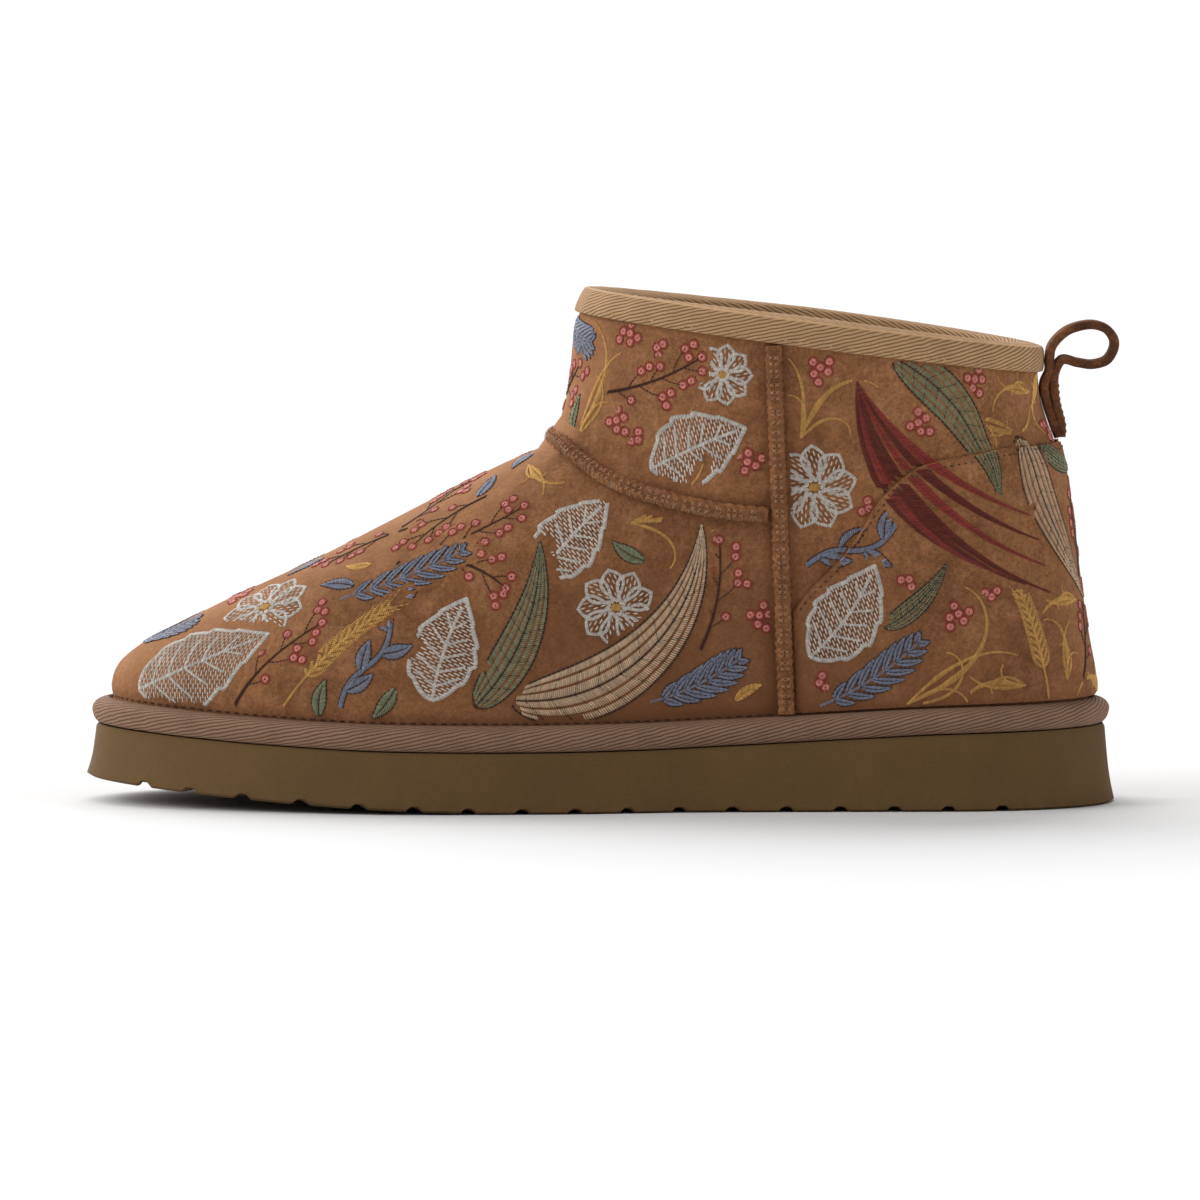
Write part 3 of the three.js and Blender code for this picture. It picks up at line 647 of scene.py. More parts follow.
def put(tree, kind, inputs=None, **settings):
    """A node with its settings, each input a value or another node's output."""
    node = tree.nodes.new(kind)
    for key, value in settings.items():
        setattr(node, key, value)
    for key, value in (inputs or {}).items():
        if isinstance(value, bpy.types.NodeSocket):
            tree.links.new(value, node.inputs[key])
        else:
            node.inputs[key].default_value = value
    return node


def maths(tree, operation, *values, clamp=False):
    return put(
        tree, "ShaderNodeMath", dict(enumerate(values)), operation=operation, use_clamp=clamp
    ).outputs[0]


def blend(tree, factor, a, b, mode="MIX"):
    return put(
        tree, "ShaderNodeMix", {0: factor, 6: a, 7: b}, data_type="RGBA", blend_type=mode
    ).outputs[2]


def toned(tree, base, tone):
    """A colour made lighter or darker by a tone round 1."""
    grey = put(tree, "ShaderNodeCombineColor", {0: tone, 1: tone, 2: tone}).outputs[0]
    return blend(tree, 1.0, base, grey, "MULTIPLY")


def between(tree, value, low, high, to_low=0.0, to_high=1.0):
    return put(
        tree, "ShaderNodeMapRange",
        {"Value": value, "From Min": low, "From Max": high, "To Min": to_low, "To Max": to_high},
    ).outputs[0]


def noise(tree, vector, scale, detail=2.0, rough=0.5):
    return put(
        tree, "ShaderNodeTexNoise",
        {"Vector": vector, "Scale": scale, "Detail": detail, "Roughness": rough},
    ).outputs[0]


def new_group(name, takes, gives):
    """An empty shader group, with its named inputs and outputs."""
    tree = bpy.data.node_groups.new(name, "ShaderNodeTree")
    kinds = {"v": "NodeSocketVector", "f": "NodeSocketFloat", "c": "NodeSocketColor"}
    for label, kind in takes:
        tree.interface.new_socket(label, in_out="INPUT", socket_type=kinds[kind])
    for label, kind in gives:
        tree.interface.new_socket(label, in_out="OUTPUT", socket_type=kinds[kind])
    start = tree.nodes.new("NodeGroupInput").outputs
    end = tree.nodes.new("NodeGroupOutput").inputs

    def give(label, value):
        tree.links.new(value, end[label])

    return tree, start, give


def nap_group():
    """Suede: soft patches of nap that lie this way and that, over a fine grain, with painted shade and
    painted highlight laid over from one input.
    """
    name = "Suede nap"
    if name in bpy.data.node_groups:
        return bpy.data.node_groups[name]
    takes = [("Vector", "v"), ("Colour", "c"), ("Light", "c"), ("Dark", "c"), ("Worn", "f")]
    gives = [("Colour", "c"), ("Roughness", "f"), ("Height", "f")]
    tree, start, give = new_group(name, takes, gives)
    vector = start["Vector"]
    patches = between(tree, noise(tree, vector, 46.0, 5.0, 0.6), 0.34, 0.62)
    brushed = between(tree, noise(tree, vector, 150.0, 5.0, 0.68), 0.46, 0.72)
    flecks = noise(tree, vector, 820.0, 4.0, 0.74)
    fine = noise(tree, vector, 2300.0, 2.0, 0.6)
    ground = blend(tree, patches, start["Dark"], start["Colour"])
    ground = blend(tree, maths(tree, "MULTIPLY", brushed, 0.5), ground, start["Light"])
    speck = maths(
        tree, "MULTIPLY", between(tree, flecks, 0.36, 0.64, 0.74, 1.26),
        between(tree, fine, 0.36, 0.64, 0.84, 1.16),
    )
    # Painted highlight where the input is below zero, and painted shade towards the dark suede where
    # it is above
    painted_highlight = maths(tree, "MULTIPLY", start["Worn"], -1.0, clamp=True)
    lighter = blend(tree, painted_highlight, toned(tree, ground, speck), start["Light"])
    give("Colour", blend(tree, maths(tree, "MAXIMUM", start["Worn"], 0.0), lighter, start["Dark"]))
    give("Roughness", between(tree, patches, 0.0, 1.0, 0.98, 0.88))
    give("Height", maths(tree, "ADD", fine, maths(tree, "MULTIPLY", flecks, 2.0)))
    return tree


def twill_group():
    """Woven tape: slanting ribs of thread on either side of a plain band along its fold."""
    name = "Twill weave"
    if name in bpy.data.node_groups:
        return bpy.data.node_groups[name]
    takes = [
        ("Vector", "v"), ("Angle", "f"), ("Pitch", "f"), ("Fold", "f"), ("Band", "f"),
        ("Colour", "c"), ("Shadow", "c"),
    ]
    tree, start, give = new_group(name, takes, [("Colour", "c"), ("Height", "f")])
    split = put(tree, "ShaderNodeSeparateXYZ", {0: start["Vector"]}).outputs
    from_fold = maths(tree, "SUBTRACT", start["Fold"], split[1])
    width = maths(tree, "ABSOLUTE", from_fold)
    wobble = maths(tree, "MULTIPLY", noise(tree, start["Vector"], 220.0), 0.0009)
    sine = maths(tree, "SINE", start["Angle"])
    cosine = maths(tree, "COSINE", start["Angle"])
    side = maths(
        tree, "ADD", maths(tree, "MULTIPLY", width, cosine), maths(tree, "MULTIPLY", split[0], sine)
    )
    ahead = maths(
        tree, "SUBTRACT", maths(tree, "MULTIPLY", split[0], cosine),
        maths(tree, "MULTIPLY", width, sine),
    )
    rib = maths(tree, "DIVIDE", maths(tree, "ADD", side, wobble), start["Pitch"])
    crest = maths(tree, "SINE", maths(tree, "MULTIPLY", maths(tree, "FRACT", rib), math.pi))
    shifted = maths(
        tree, "ADD", maths(tree, "DIVIDE", ahead, 0.0007),
        maths(tree, "MULTIPLY", maths(tree, "FLOOR", rib), 0.37),
    )
    bead = maths(tree, "SINE", maths(tree, "MULTIPLY", maths(tree, "FRACT", shifted), math.pi))
    ribbed = maths(
        tree, "MULTIPLY", maths(tree, "POWER", crest, 0.5),
        maths(tree, "ADD", maths(tree, "MULTIPLY", bead, 0.3), 0.7),
    )
    band = between(tree, width, start["Band"], maths(tree, "ADD", start["Band"], 0.0004), 0.0, 1.0)
    height = maths(
        tree, "ADD", maths(tree, "MULTIPLY", ribbed, band),
        maths(tree, "MULTIPLY", maths(tree, "SUBTRACT", 1.0, band), 0.85),
    )
    patchy = between(tree, noise(tree, start["Vector"], 150.0, 3.0), 0.3, 0.7, 0.84, 1.1)
    lit = maths(tree, "MULTIPLY", between(tree, height, 0.3, 0.85), patchy)
    give("Colour", blend(tree, lit, start["Shadow"], start["Colour"]))
    give("Height", height)
    return tree


def thread_group():
    """Twisted thread: fine slanting plies, and a shade of its own for each stitch."""
    name = "Thread twist"
    if name in bpy.data.node_groups:
        return bpy.data.node_groups[name]
    takes = [("Vector", "v"), ("Colour", "c"), ("Twist", "f")]
    tree, start, give = new_group(name, takes, [("Colour", "c"), ("Height", "f")])
    split = put(tree, "ShaderNodeSeparateXYZ", {0: start["Vector"]}).outputs
    ply = maths(tree, "SINE", maths(tree, "MULTIPLY", split[0], start["Twist"]))
    shade = between(tree, split[1], 0.0, 1.0, 0.72, 1.12)
    tone = maths(tree, "MULTIPLY", shade, between(tree, ply, -1.0, 1.0, 0.86, 1.06))
    give("Colour", toned(tree, start["Colour"], tone))
    give("Height", ply)
    return tree


def new_material(name, roughness=0.9, sheen=0.0, sheen_tint=(1, 1, 1, 1), specular=0.3):
    material = bpy.data.materials.new(name)
    material.use_nodes = True
    tree = material.node_tree
    shader = tree.nodes["Principled BSDF"]
    shader.inputs["Roughness"].default_value = roughness
    shader.inputs["Specular IOR Level"].default_value = specular
    shader.inputs["Sheen Weight"].default_value = sheen
    shader.inputs["Sheen Roughness"].default_value = 0.55
    shader.inputs["Sheen Tint"].default_value = sheen_tint
    return material, tree, shader


def bump(tree, shader, height, distance, strength=1.0):
    node = put(
        tree, "ShaderNodeBump", {"Height": height, "Distance": distance, "Strength": strength}
    )
    tree.links.new(node.outputs[0], shader.inputs["Normal"])


def object_place(tree):
    return tree.nodes.new("ShaderNodeTexCoord").outputs["Object"]


def surface_place(tree):
    return put(tree, "ShaderNodeUVMap", uv_map="UVMap").outputs[0]


def suede_material(name, base, light, dark, painted_light_attribute=False):
    if name in bpy.data.materials:
        return bpy.data.materials[name]
    material, tree, shader = new_material(name, 0.95, 0.35, tint(light), 0.15)
    takes = {
        "Vector": object_place(tree), "Colour": tint(base), "Light": tint(light), "Dark": tint(dark),
    }
    # Painted shade and painted highlight, read from the mesh
    if painted_light_attribute:
        takes["Worn"] = put(tree, "ShaderNodeAttribute", attribute_name="worn").outputs["Fac"]
    nap = put(tree, "ShaderNodeGroup", takes, node_tree=nap_group())
    tree.links.new(nap.outputs["Colour"], shader.inputs["Base Color"])
    tree.links.new(nap.outputs["Roughness"], shader.inputs["Roughness"])
    bump(tree, shader, nap.outputs["Height"], 0.00022, 0.8)
    return material


def tape_material(name, base, angle, pitch, fold=1.0, band=0.0):
    """Woven tape; fold is where across the tape its folded edge lies."""
    material, tree, shader = new_material(name, 0.85, 0.25, tint(base), 0.25)
    takes = {
        "Vector": surface_place(tree), "Angle": angle, "Pitch": pitch, "Fold": fold, "Band": band,
        "Colour": tint(base), "Shadow": darker(base, 0.24),
    }
    weave = put(tree, "ShaderNodeGroup", takes, node_tree=twill_group())
    tree.links.new(weave.outputs["Colour"], shader.inputs["Base Color"])
    bump(tree, shader, weave.outputs["Height"], 0.00035)
    return material


def thread_material(name, base, roughness=0.5):
    if name in bpy.data.materials:
        return bpy.data.materials[name]
    material, tree, shader = new_material(name, roughness, 0.2, tint(base), 0.4)
    takes = {"Vector": surface_place(tree), "Colour": tint(base), "Twist": 9000.0}
    twist = put(tree, "ShaderNodeGroup", takes, node_tree=thread_group())
    tree.links.new(twist.outputs["Colour"], shader.inputs["Base Color"])
    bump(tree, shader, twist.outputs["Height"], 0.00004)
    return material


def foam_material():
    material, tree, shader = new_material("Foam", 0.82, 0.0, specular=0.25)
    place = object_place(tree)
    cells = noise(tree, place, 1900.0, 3.0, 0.65)
    clouds = between(tree, noise(tree, place, 38.0, 4.0, 0.6), 0.3, 0.7, 0.9, 1.08)
    tone = maths(tree, "MULTIPLY", clouds, between(tree, cells, 0.25, 0.75, 0.86, 1.12))
    base = toned(tree, tint("foam"), tone)
    height = put(tree, "ShaderNodeSeparateXYZ", {0: place}).outputs[2]
    scuffed = between(tree, height, 0.0, 0.0045, 0.4, 0.0)
    dusty = maths(tree, "MULTIPLY", scuffed, between(tree, noise(tree, place, 240.0, 4.0), 0.4, 0.6))
    tree.links.new(blend(tree, dusty, base, darker("foam", 0.6)), shader.inputs["Base Color"])
    bump(tree, shader, cells, 0.00012, 0.7)
    return material


def fleece_material():
    if "Fleece" in bpy.data.materials:
        return bpy.data.materials["Fleece"]
    material, tree, shader = new_material("Fleece", 0.95, 0.6, tint("fleece"), 0.1)
    place = object_place(tree)
    locks = noise(tree, place, 330.0, 4.0, 0.65)
    wool = noise(tree, place, 1500.0, 3.0, 0.7)
    lit = maths(tree, "ADD", maths(tree, "MULTIPLY", locks, 0.65), maths(tree, "MULTIPLY", wool, 0.35))
    shaded = blend(tree, between(tree, lit, 0.33, 0.56), darker("fleece", 0.66), tint("fleece"))
    tree.links.new(shaded, shader.inputs["Base Color"])
    bump(tree, shader, lit, 0.0012, 0.9)
    return material


# Upper

def painted_light_on_suede(last, turn, rise):
    """Painted light on the suede: painted shade in the troughs by the seams, in the corner above the
    tape at the sole and over the lower flank, and below zero painted highlight along the front and the
    back."""
    side, instep = last.seam_gaps(turn, rise)
    ahead = last.around(turn) < last.seam_turn(np.clip(rise, 0, 1))
    # Painted shade in the troughs that the seams pull into the suede
    near = mound(side / MM, 4) + np.where(ahead, mound(instep / MM, 4), 0)
    foot = rise / last.rise_for(turn, rise, MM) - last.s.rim_tape_height / MM
    place = last.face(turn, rise) / MM
    # Painted shade over the lower flank, which faces away from the lamps
    painted_flank_shade = np.exp(-(((place[..., 0] - 20) / 70) ** 2) - ((place[..., 2] - 38) / 28) ** 2)
    # Painted shade in the corner just above the tape at the sole, added to the rest
    near = near * 0.35 + 0.5 * np.exp(-np.maximum(foot, 0) / 3.5) + 0.75 * painted_flank_shade
    around = last.around(turn)
    # Painted highlight along the toe and the heel
    near = near - 0.5 * mound(around, 0.2) - 0.3 * mound(1 - around, 0.06)
    return np.clip(near, -0.6, 0.95)


def set_painted_light(piece, values, points):
    """Writes the values onto the merged mesh's vertices, each from its nearest grid point."""
    tree = KDTree(len(points))
    for index, point in enumerate(points):
        tree.insert(point, index)
    tree.balance()
    # The attribute holds painted shade and painted highlight
    layer = piece.data.attributes.new("worn", "FLOAT", "POINT")
    found = [values[tree.find(v.co)[1]] for v in piece.data.vertices]
    layer.data.foreach_set("value", np.array(found, np.float32))


def make_upper():
    last = Last()
    s = last.s
    turns = np.linspace(0, 2, TURN_COLUMNS, endpoint=False)[:, None]
    outer = np.linspace(0, 1, RISE_ROWS)[None, :]
    inner = np.linspace(0, 1, 9)[None, ::-1]
    soft = last.relief(turns, outer)
    outside = last.skin(turns, outer + 0 * turns, soft)
    inside = last.skin(turns, inner + 0 * turns, -s.upper_wall + 0 * inner + 0 * turns)
    inside[:, -1] = last.level(turns[:, 0], 0 * turns[:, 0], -s.upper_wall)
    piece = grid_piece("suede_upper", np.concatenate([outside, inside], 1), around=True)
    # Painted shade and painted highlight, kept on the mesh for the suede's colour
    worn = painted_light_on_suede(last, turns, outer)
    set_painted_light(piece, worn.reshape(-1), outside.reshape(-1, 3))
    material = suede_material("Suede", "suede", "suede_light", "suede_dark", True)
    finish(piece, material, ["upper"])


def make_counter():
    last = Last()
    s = last.s
    columns, rows = 170, 44
    shares = np.linspace(-1, 1, columns)[:, None]
    heights = np.linspace(0, 1, rows)[None, :]

    def place(share, height, out):
        around = last.counter_around(share)
        low = last.rise_for(around, 0 * around, s.rim_tape_height + 3 * s.fit)
        rise = low + (last.counter_top(around) - low) * height
        turn = last.counter_turn(share, rise)
        return last.skin(turn, rise, out + 0.5 * last.relief(turn, rise)), turn, rise

    from_edge = np.minimum((1 - heights) * 55, (1 - np.abs(shares)) * 70)
    rounded = np.sqrt(1 - (1 - np.clip(from_edge, 0, 1)) ** 2)
    thick = s.overlay_fit + s.counter_thickness * (0.35 + 0.65 * rounded)
    outside, turn, rise = place(shares, heights, thick)
    inside = place(shares, np.linspace(1, 0, 12)[None, :], s.overlay_fit + 0 * shares)[0]
    points = np.concatenate([outside, inside], 1)
    piece = grid_piece("heel_counter_suede", capped(points))
    # Painted shade and painted highlight on the counter's suede, as on the upper
    set_painted_light(piece, painted_light_on_suede(last, turn, rise).reshape(-1), outside.reshape(-1, 3))
    material = suede_material("Suede", "suede", "suede_light", "suede_dark", True)
    finish(piece, material, ["heel_counter"])


def make_seams():
    last = Last()
    s = last.s
    rng = np.random.default_rng(SEED)
    steps = 300
    low = last.rise_for(last.seam_turn(0.0), 0.0, s.rim_tape_height + 2 * s.fit)
    high = 1 - last.rise_for(last.seam_turn(1.0), 1.0, s.collar_tape_height + 3 * s.fit)
    side_rise = np.linspace(float(low), float(high), steps)
    side_turn = last.seam_turn(side_rise)
    end = float(last.seam_turn(INSTEP_SEAM[-1]["rise"], -s.seam_width / 2 - 4 * s.fit))
    instep_turn = np.linspace(-end, end, 2 * steps)
    instep_rise = last.instep(np.abs(instep_turn))
    paths = {
        "side_seam_outer": (side_turn, side_rise),
        "side_seam_inner": (2 - side_turn, side_rise),
        "instep_seam": (instep_turn, instep_rise),
    }
    material = suede_material("Seam suede", "seam", "suede_light", "suede_dark")
    for name, (turn, rise) in paths.items():
        middle = last.face(turn, rise)
        normal = last.normal(turn, rise)
        ahead = unit(np.gradient(middle, axis=0))
        across = unit(np.cross(ahead, normal))
        angles = np.linspace(0, np.pi, 11)
        lumps = 1 + 0.07 * np.sin(np.arange(len(turn))[:, None] * 0.9 + angles * 2)
        lumps = lumps + rng.normal(0, 0.03, lumps.shape)
        half, tall = s.seam_width / 2, s.seam_height
        trench = 1 - 0.28 * mound(angles, 0.35, np.pi / 2)
        rings = (
            middle[:, None] + across[:, None] * (np.cos(angles) * half * lumps)[..., None]
            + normal[:, None] * (s.overlay_fit + np.sin(angles) * tall * trench * lumps)[..., None]
        )
        base = middle[:, None] + normal[:, None] * s.overlay_fit
        rings = np.concatenate([rings, base], 1)
        rings = np.concatenate([0 * rings[:1] + base[:1], rings, 0 * rings[-1:] + base[-1:]], 0)
        piece = grid_piece(name + "_ridge", rings)
        finish(piece, material, [name])
        wrap_seam(name, middle, ahead, across, normal, s)


def wrap_seam(name, middle, ahead, across, normal, s):
    """Crossed threads over a raised seam, and the fuzz of its raw edges."""
    rng = np.random.default_rng(SEED + len(name))
    reach = run_lengths(middle)
    half, tall = s.seam_width / 2, s.seam_height

    def over(index, swing, slide, lift=0.0):
        """Points on the ridge, by how far aside and ahead they lie."""
        swing = np.asarray(swing) + np.zeros(len(index))
        round_top = s.overlay_fit + tall * np.sqrt(np.clip(1 - swing**2, 0, 1)) + lift
        return (
            middle[index] + across[index] * (swing * half)[:, None]
            + normal[index] * round_top[:, None] + ahead[index] * slide
        )

    def facing(index, swing):
        up = np.sqrt(max(0.05, 1 - swing**2))
        return unit(normal[index] * up + across[index] * swing)

    def sew(label, strands, pitch, width, height, colour):
        at = np.arange(0.0015, reach[-1] - 0.0015, pitch)
        index = np.searchsorted(reach, at + rng.uniform(-0.35, 0.35, len(at)) * pitch)
        ends = [
            np.stack([over(index, a, -slide), over(index, b, slide)], 1) for a, b, slide in strands
        ]
        normals = [facing(index, (a + b) / 2) for a, b, _ in strands]
        count = len(index) * len(strands)
        piece = stitch_mesh(
            name + label, np.concatenate(ends), np.concatenate(normals), np.full(count, width), height
        )
        finish(piece, thread_material("Thread " + colour, colour, 0.7), angle=0)

    crossed = [(a, b, hand * 0.00055) for a, b in ((-0.62, -0.05), (0.05, 0.62)) for hand in (-1, 1)]
    sew("_threads", crossed, pitch=0.0021, width=0.0003, height=0.0002, colour="seam_thread")
    if name == "instep_seam":
        whip = [(0.45, 0.98, 0.0001)]
        sew("_whip", whip, pitch=0.00135, width=0.0006, height=0.0003, colour="whip_thread")
    count = int(reach[-1] / MM * 20)
    at = rng.integers(0, len(middle), count)
    swing = rng.uniform(-1.05, 1.05, count)
    root = over(at, swing, 0.0, -0.0002)
    lean = unit(
        across[at] * (swing * 1.2 + rng.normal(0, 0.5, count))[:, None]
        + ahead[at] * rng.normal(0, 0.6, count)[:, None] + normal[at] * 0.7
    )
    tip = root + lean * rng.uniform(0.0006, 0.0016, count)[:, None]
    fuzz = hair_mesh(name + "_fuzz", root, tip, width=0.00017)
    finish(fuzz, thread_material("Seam fuzz", "seam", 0.9), angle=0)


# Tapes and sewing

def tape_sections(last, turns, profile, base):
    """Sections of a tape round the boot: profile holds heights from a base rise and distances out."""
    heights, outs = profile[:, 0][None, :], profile[:, 1][None, :]
    rise = base + last.rise_for(turns, base + 0 * turns, 1.0) * heights
    return rise, outs + 0 * rise


def make_collar_tape():
    last = Last()
    s = last.s
    t, drop = s.tape_thickness, s.collar_tape_height
    inward = s.upper_wall + 2 * s.fit + s.fleece_at_rim
    outer = [
        (-drop, s.fit + 0.1 * t), (-drop - 0.0002, s.fit + 0.6 * t), (-drop * 0.93, s.fit + t),
        (-drop / 2, s.fit + 1.15 * t), (-drop * 0.12, s.fit + t), (s.fit + 0.0004, s.fit + 0.35 * t),
        (s.fit + t, -inward / 2), (s.fit + 0.0004, -inward - 0.35 * t), (-drop * 0.12, -inward - t),
        (-drop / 2, -inward - 1.15 * t), (-drop * 0.93, -inward - t), (-drop, -inward - 0.5 * t),
    ]
    visible = 32
    profile = np.concatenate([
        smooth_path(outer, visible),
        [(-drop, -inward), (s.fit, -inward), (s.fit, s.fit), (-drop, s.fit)],
    ])
    turns = np.linspace(0, 2, 420, endpoint=False)[:, None]
    rise, out = tape_sections(last, turns, profile, 1.0)
    ripple = 0.00012 * np.sin(turns * 90) * (np.arange(len(profile)) < visible)
    weave = last.skin(turns + 0 * rise, rise, out + ripple)
    piece = grid_piece("collar_tape_weave", weave, around=True)
    section = last.skin(turns[:1] + 0 * rise[:1], rise[:1], out[:1])[0]
    fold = run_lengths(section)[section[:visible, 2].argmax()]
    material = tape_material("Collar tape", "collar_tape", math.radians(20), 0.00105, fold, 0.0003)
    finish(piece, material, ["collar_tape"])


def make_rim_tape():
    last = Last()
    s = last.s
    tall, reach = s.rim_tape_height, s.rim_tape_reach - s.fit
    outer = [
        (0.0002, 0.0006), (0.0, 0.62 * reach), (0.1 * tall, 0.86 * reach), (0.3 * tall, 0.98 * reach),
        (0.6 * tall, reach), (0.84 * tall, 0.76 * reach), (0.96 * tall, 0.38 * reach), (tall, 0.0006),
    ]
    profile = smooth_path(outer, 24)
    profile[:, 1] += s.fit
    profile = np.concatenate([profile, [(tall * 0.9, s.fit), (tall * 0.5, s.fit), (0.0004, s.fit)]])
    turns = np.linspace(0, 2, 460, endpoint=False)[:, None]
    rise, out = tape_sections(last, turns, profile, 0.0)
    ripple = 0.00015 * np.sin(turns * 61) * np.sin(turns * 23 + 1) * (out > s.fit + 0.001)
    weave = last.level(turns + 0 * rise, rise, out + ripple)
    piece = grid_piece("rim_tape_weave", weave, around=True)
    material = tape_material("Rim tape", "rim_tape", math.radians(14), 0.00108)
    finish(piece, material, ["rim_tape"])


def sewing_row(last, name, turn, rise, out, pitch, size, width, height, colour="stitch"):
    """A row of stitches along a path on the face."""
    path = last.skin(turn, rise, out)
    reach = run_lengths(path)
    starts = np.arange(0.0006, reach[-1] - size, pitch)
    ends = np.zeros((len(starts), 2, 3))
    normals = np.zeros((len(starts), 3))
    face_normal = last.normal(turn, rise)
    for axis in range(3):
        ends[:, 0, axis] = np.interp(starts, reach, path[:, axis])
        ends[:, 1, axis] = np.interp(starts + size, reach, path[:, axis])
        normals[:, axis] = np.interp(starts + size / 2, reach, face_normal[:, axis])
    piece = stitch_mesh(name, ends, unit(normals), np.full(len(starts), width), height)
    finish(piece, thread_material("Thread " + colour, colour, 0.6), angle=0)


def make_stitches():
    last = Last()
    s = last.s
    turn = np.linspace(0, 2, 1200)
    rise = last.rise_for(turn, 0 * turn, s.rim_tape_height + 0.0005)
    sewing_row(
        last, "sole_stitches", turn, rise, last.relief(turn, rise) + 0.0002,
        pitch=0.0029, size=0.0019, width=0.00045, height=0.0002,
    )
    rise = 1 - last.rise_for(turn, 1 + 0 * turn, s.collar_tape_height * 0.82)
    sewing_row(
        last, "collar_stitches", turn, rise, s.fit + s.tape_thickness * 1.05 + 0 * turn,
        pitch=0.0021, size=0.0014, width=0.0004, height=0.00012, colour="collar_tape",
    )
    share = np.linspace(-0.99, 0.99, 900)
    around = last.counter_around(share)
    rise = last.counter_top(around) - last.rise_for(around, 0.5 + 0 * around, 0.0019)
    turn = last.counter_turn(share, rise)
    out = s.overlay_fit + s.counter_thickness + 0.5 * last.relief(turn, rise)
    sewing_row(
        last, "counter_stitches", turn, rise, out,
        pitch=0.0021, size=0.0012, width=0.00062, height=0.0002,
    )


# Outsole

def make_outsole():
    last = Last()
    s = last.s
    stations = 500
    turn = np.arange(stations + 1) / stations
    drops = np.array([0, 0.05, 0.2, 0.4, 0.6, 0.8, 0.92, 0.97, 1.0])
    flares = np.interp(drops, [0, 0.35, 0.7, 1], [0, 0.22, 0.5, 1])

    def wall(turns):
        """Wall of the outsole on one side, without the frame's shift: rows from the top down."""
        around = np.mod(turns, 2)
        point = last.face(turns, 0 * turns) - last.shift
        step = last.face(turns + 0.004, 0 * turns) - last.face(turns - 0.004, 0 * turns)
        step[:, 2] = 0
        ahead = unit(step)
        back = (1 - np.cos(np.pi * around)) / 2
        ledge = s.toe_ledge + (s.heel_ledge - s.toe_ledge) * back - s.sole_flare
        out = ledge[:, None] + flares[None, :] * s.sole_flare
        shoulder = 0.0005 * (drops == 0)
        out = out - shoulder[None, :]
        top = last.sole_top(point[:, 0])[:, None]
        foot = last.sole_bottom(point[:, 0])[:, None] + s.sole_round
        x = point[:, 0][:, None] + ahead[:, 1][:, None] * out
        y = point[:, 1][:, None] - ahead[:, 0][:, None] * out
        z = top + (foot - top) * drops[None, :]
        edge_x = x[:, -1:] - ahead[:, 1:2] * 1.6 * s.sole_round
        edge_y = y[:, -1:] + ahead[:, 0:1] * 1.6 * s.sole_round
        rows = np.stack([x, y, z], -1)
        edge = np.stack([edge_x, edge_y, foot - s.sole_round], -1)
        return np.concatenate([rows, edge], 1)

    outer, inner = wall(turn), wall(2 - turn)
    x = (outer[..., 0] + inner[..., 0]) / 2
    outer[..., 0] = inner[..., 0] = x
    across = np.linspace(0, 1, 20)[None, 1:-1, None]
    bottom = outer[:, -1:] + (inner[:, -1:] - outer[:, -1:]) * across
    crown = inner[:, :1] + (outer[:, :1] - inner[:, :1]) * np.linspace(0, 1, 10)[None, 1:-1, None]
    loop = np.concatenate([outer, bottom, inner[:, ::-1], crown], 1)
    middles = last.toe_x + np.linspace(FIRST_GROOVE, LAST_GROOVE, GROOVES) * last.length
    rows = outer.shape[1]
    low = slice(rows - 4, rows + bottom.shape[1] + 4)
    gx, gy, gz = loop[:, low, 0], loop[:, low, 1], loop[:, low, 2]
    reach = 0.62 * s.ball_width
    wave = s.groove_wave * np.cos(np.pi * (gy / reach + 1) * 3)
    lift = np.zeros_like(gx)
    for middle in middles:
        t = np.abs(gx - middle - wave) / s.groove_width
        roof = np.clip((0.52 - t) / 0.34, 0, 1)
        lift = np.maximum(lift, 0.85 * s.groove_depth * roof * roof * (3 - 2 * roof))
    floor = last.sole_bottom(gx)
    near = np.clip(1 - (gz - floor) / 0.0034, 0, 1)
    loop[:, low, 2] = gz + lift * near
    piece = grid_piece("foam_outsole", loop + last.shift)
    finish(piece, foam_material(), ["outsole"], angle=40)


# Fleece

def make_lining():
    last = Last()
    s = last.s
    rng = np.random.default_rng(SEED)
    turns = np.linspace(0, 2, 270, endpoint=False)[:, None]
    outset = -(s.upper_wall + s.fit)
    top = 1 - last.rise_for(turns, 1 + 0 * turns, s.fit)
    pressed = 1 - last.rise_for(turns, 1 + 0 * turns, s.collar_tape_height + 2 * s.fit)
    rows = np.linspace(0, 1, 62)[None, :]
    rise = np.minimum(rows * pressed, pressed)
    x = last.face(turns, rise)
    lumps = (
        np.sin(x[..., 0] * 980 + 1.7 * np.sin(x[..., 2] * 700)) * np.sin(x[..., 2] * 1050 + turns * 40)
        + 0.7 * np.sin(x[..., 0] * 1900 + x[..., 2] * 1300) + rng.normal(0, 0.28, rise.shape)
    )
    inside = last.skin(turns, rise, outset - s.fleece_pile + 0.0005 * lumps)
    inside[:, 0] = last.level(turns[:, 0], 0 * turns[:, 0], outset - s.fleece_pile)
    edge = last.skin(turns, np.concatenate([pressed, top], 1), outset - s.fleece_at_rim + 0 * turns)
    outer_rise = np.linspace(1, 0, 9)[None, :] * top
    outside = last.skin(turns, outer_rise, outset + 0 * outer_rise)
    outside[:, -1] = last.level(turns[:, 0], 0 * turns[:, 0], outset)
    piece = grid_piece("fleece_pile", np.concatenate([inside, edge, outside], 1), around=True)
    finish(piece, fleece_material(), ["fleece_lining"], angle=80)
    grow_locks(last, rng)


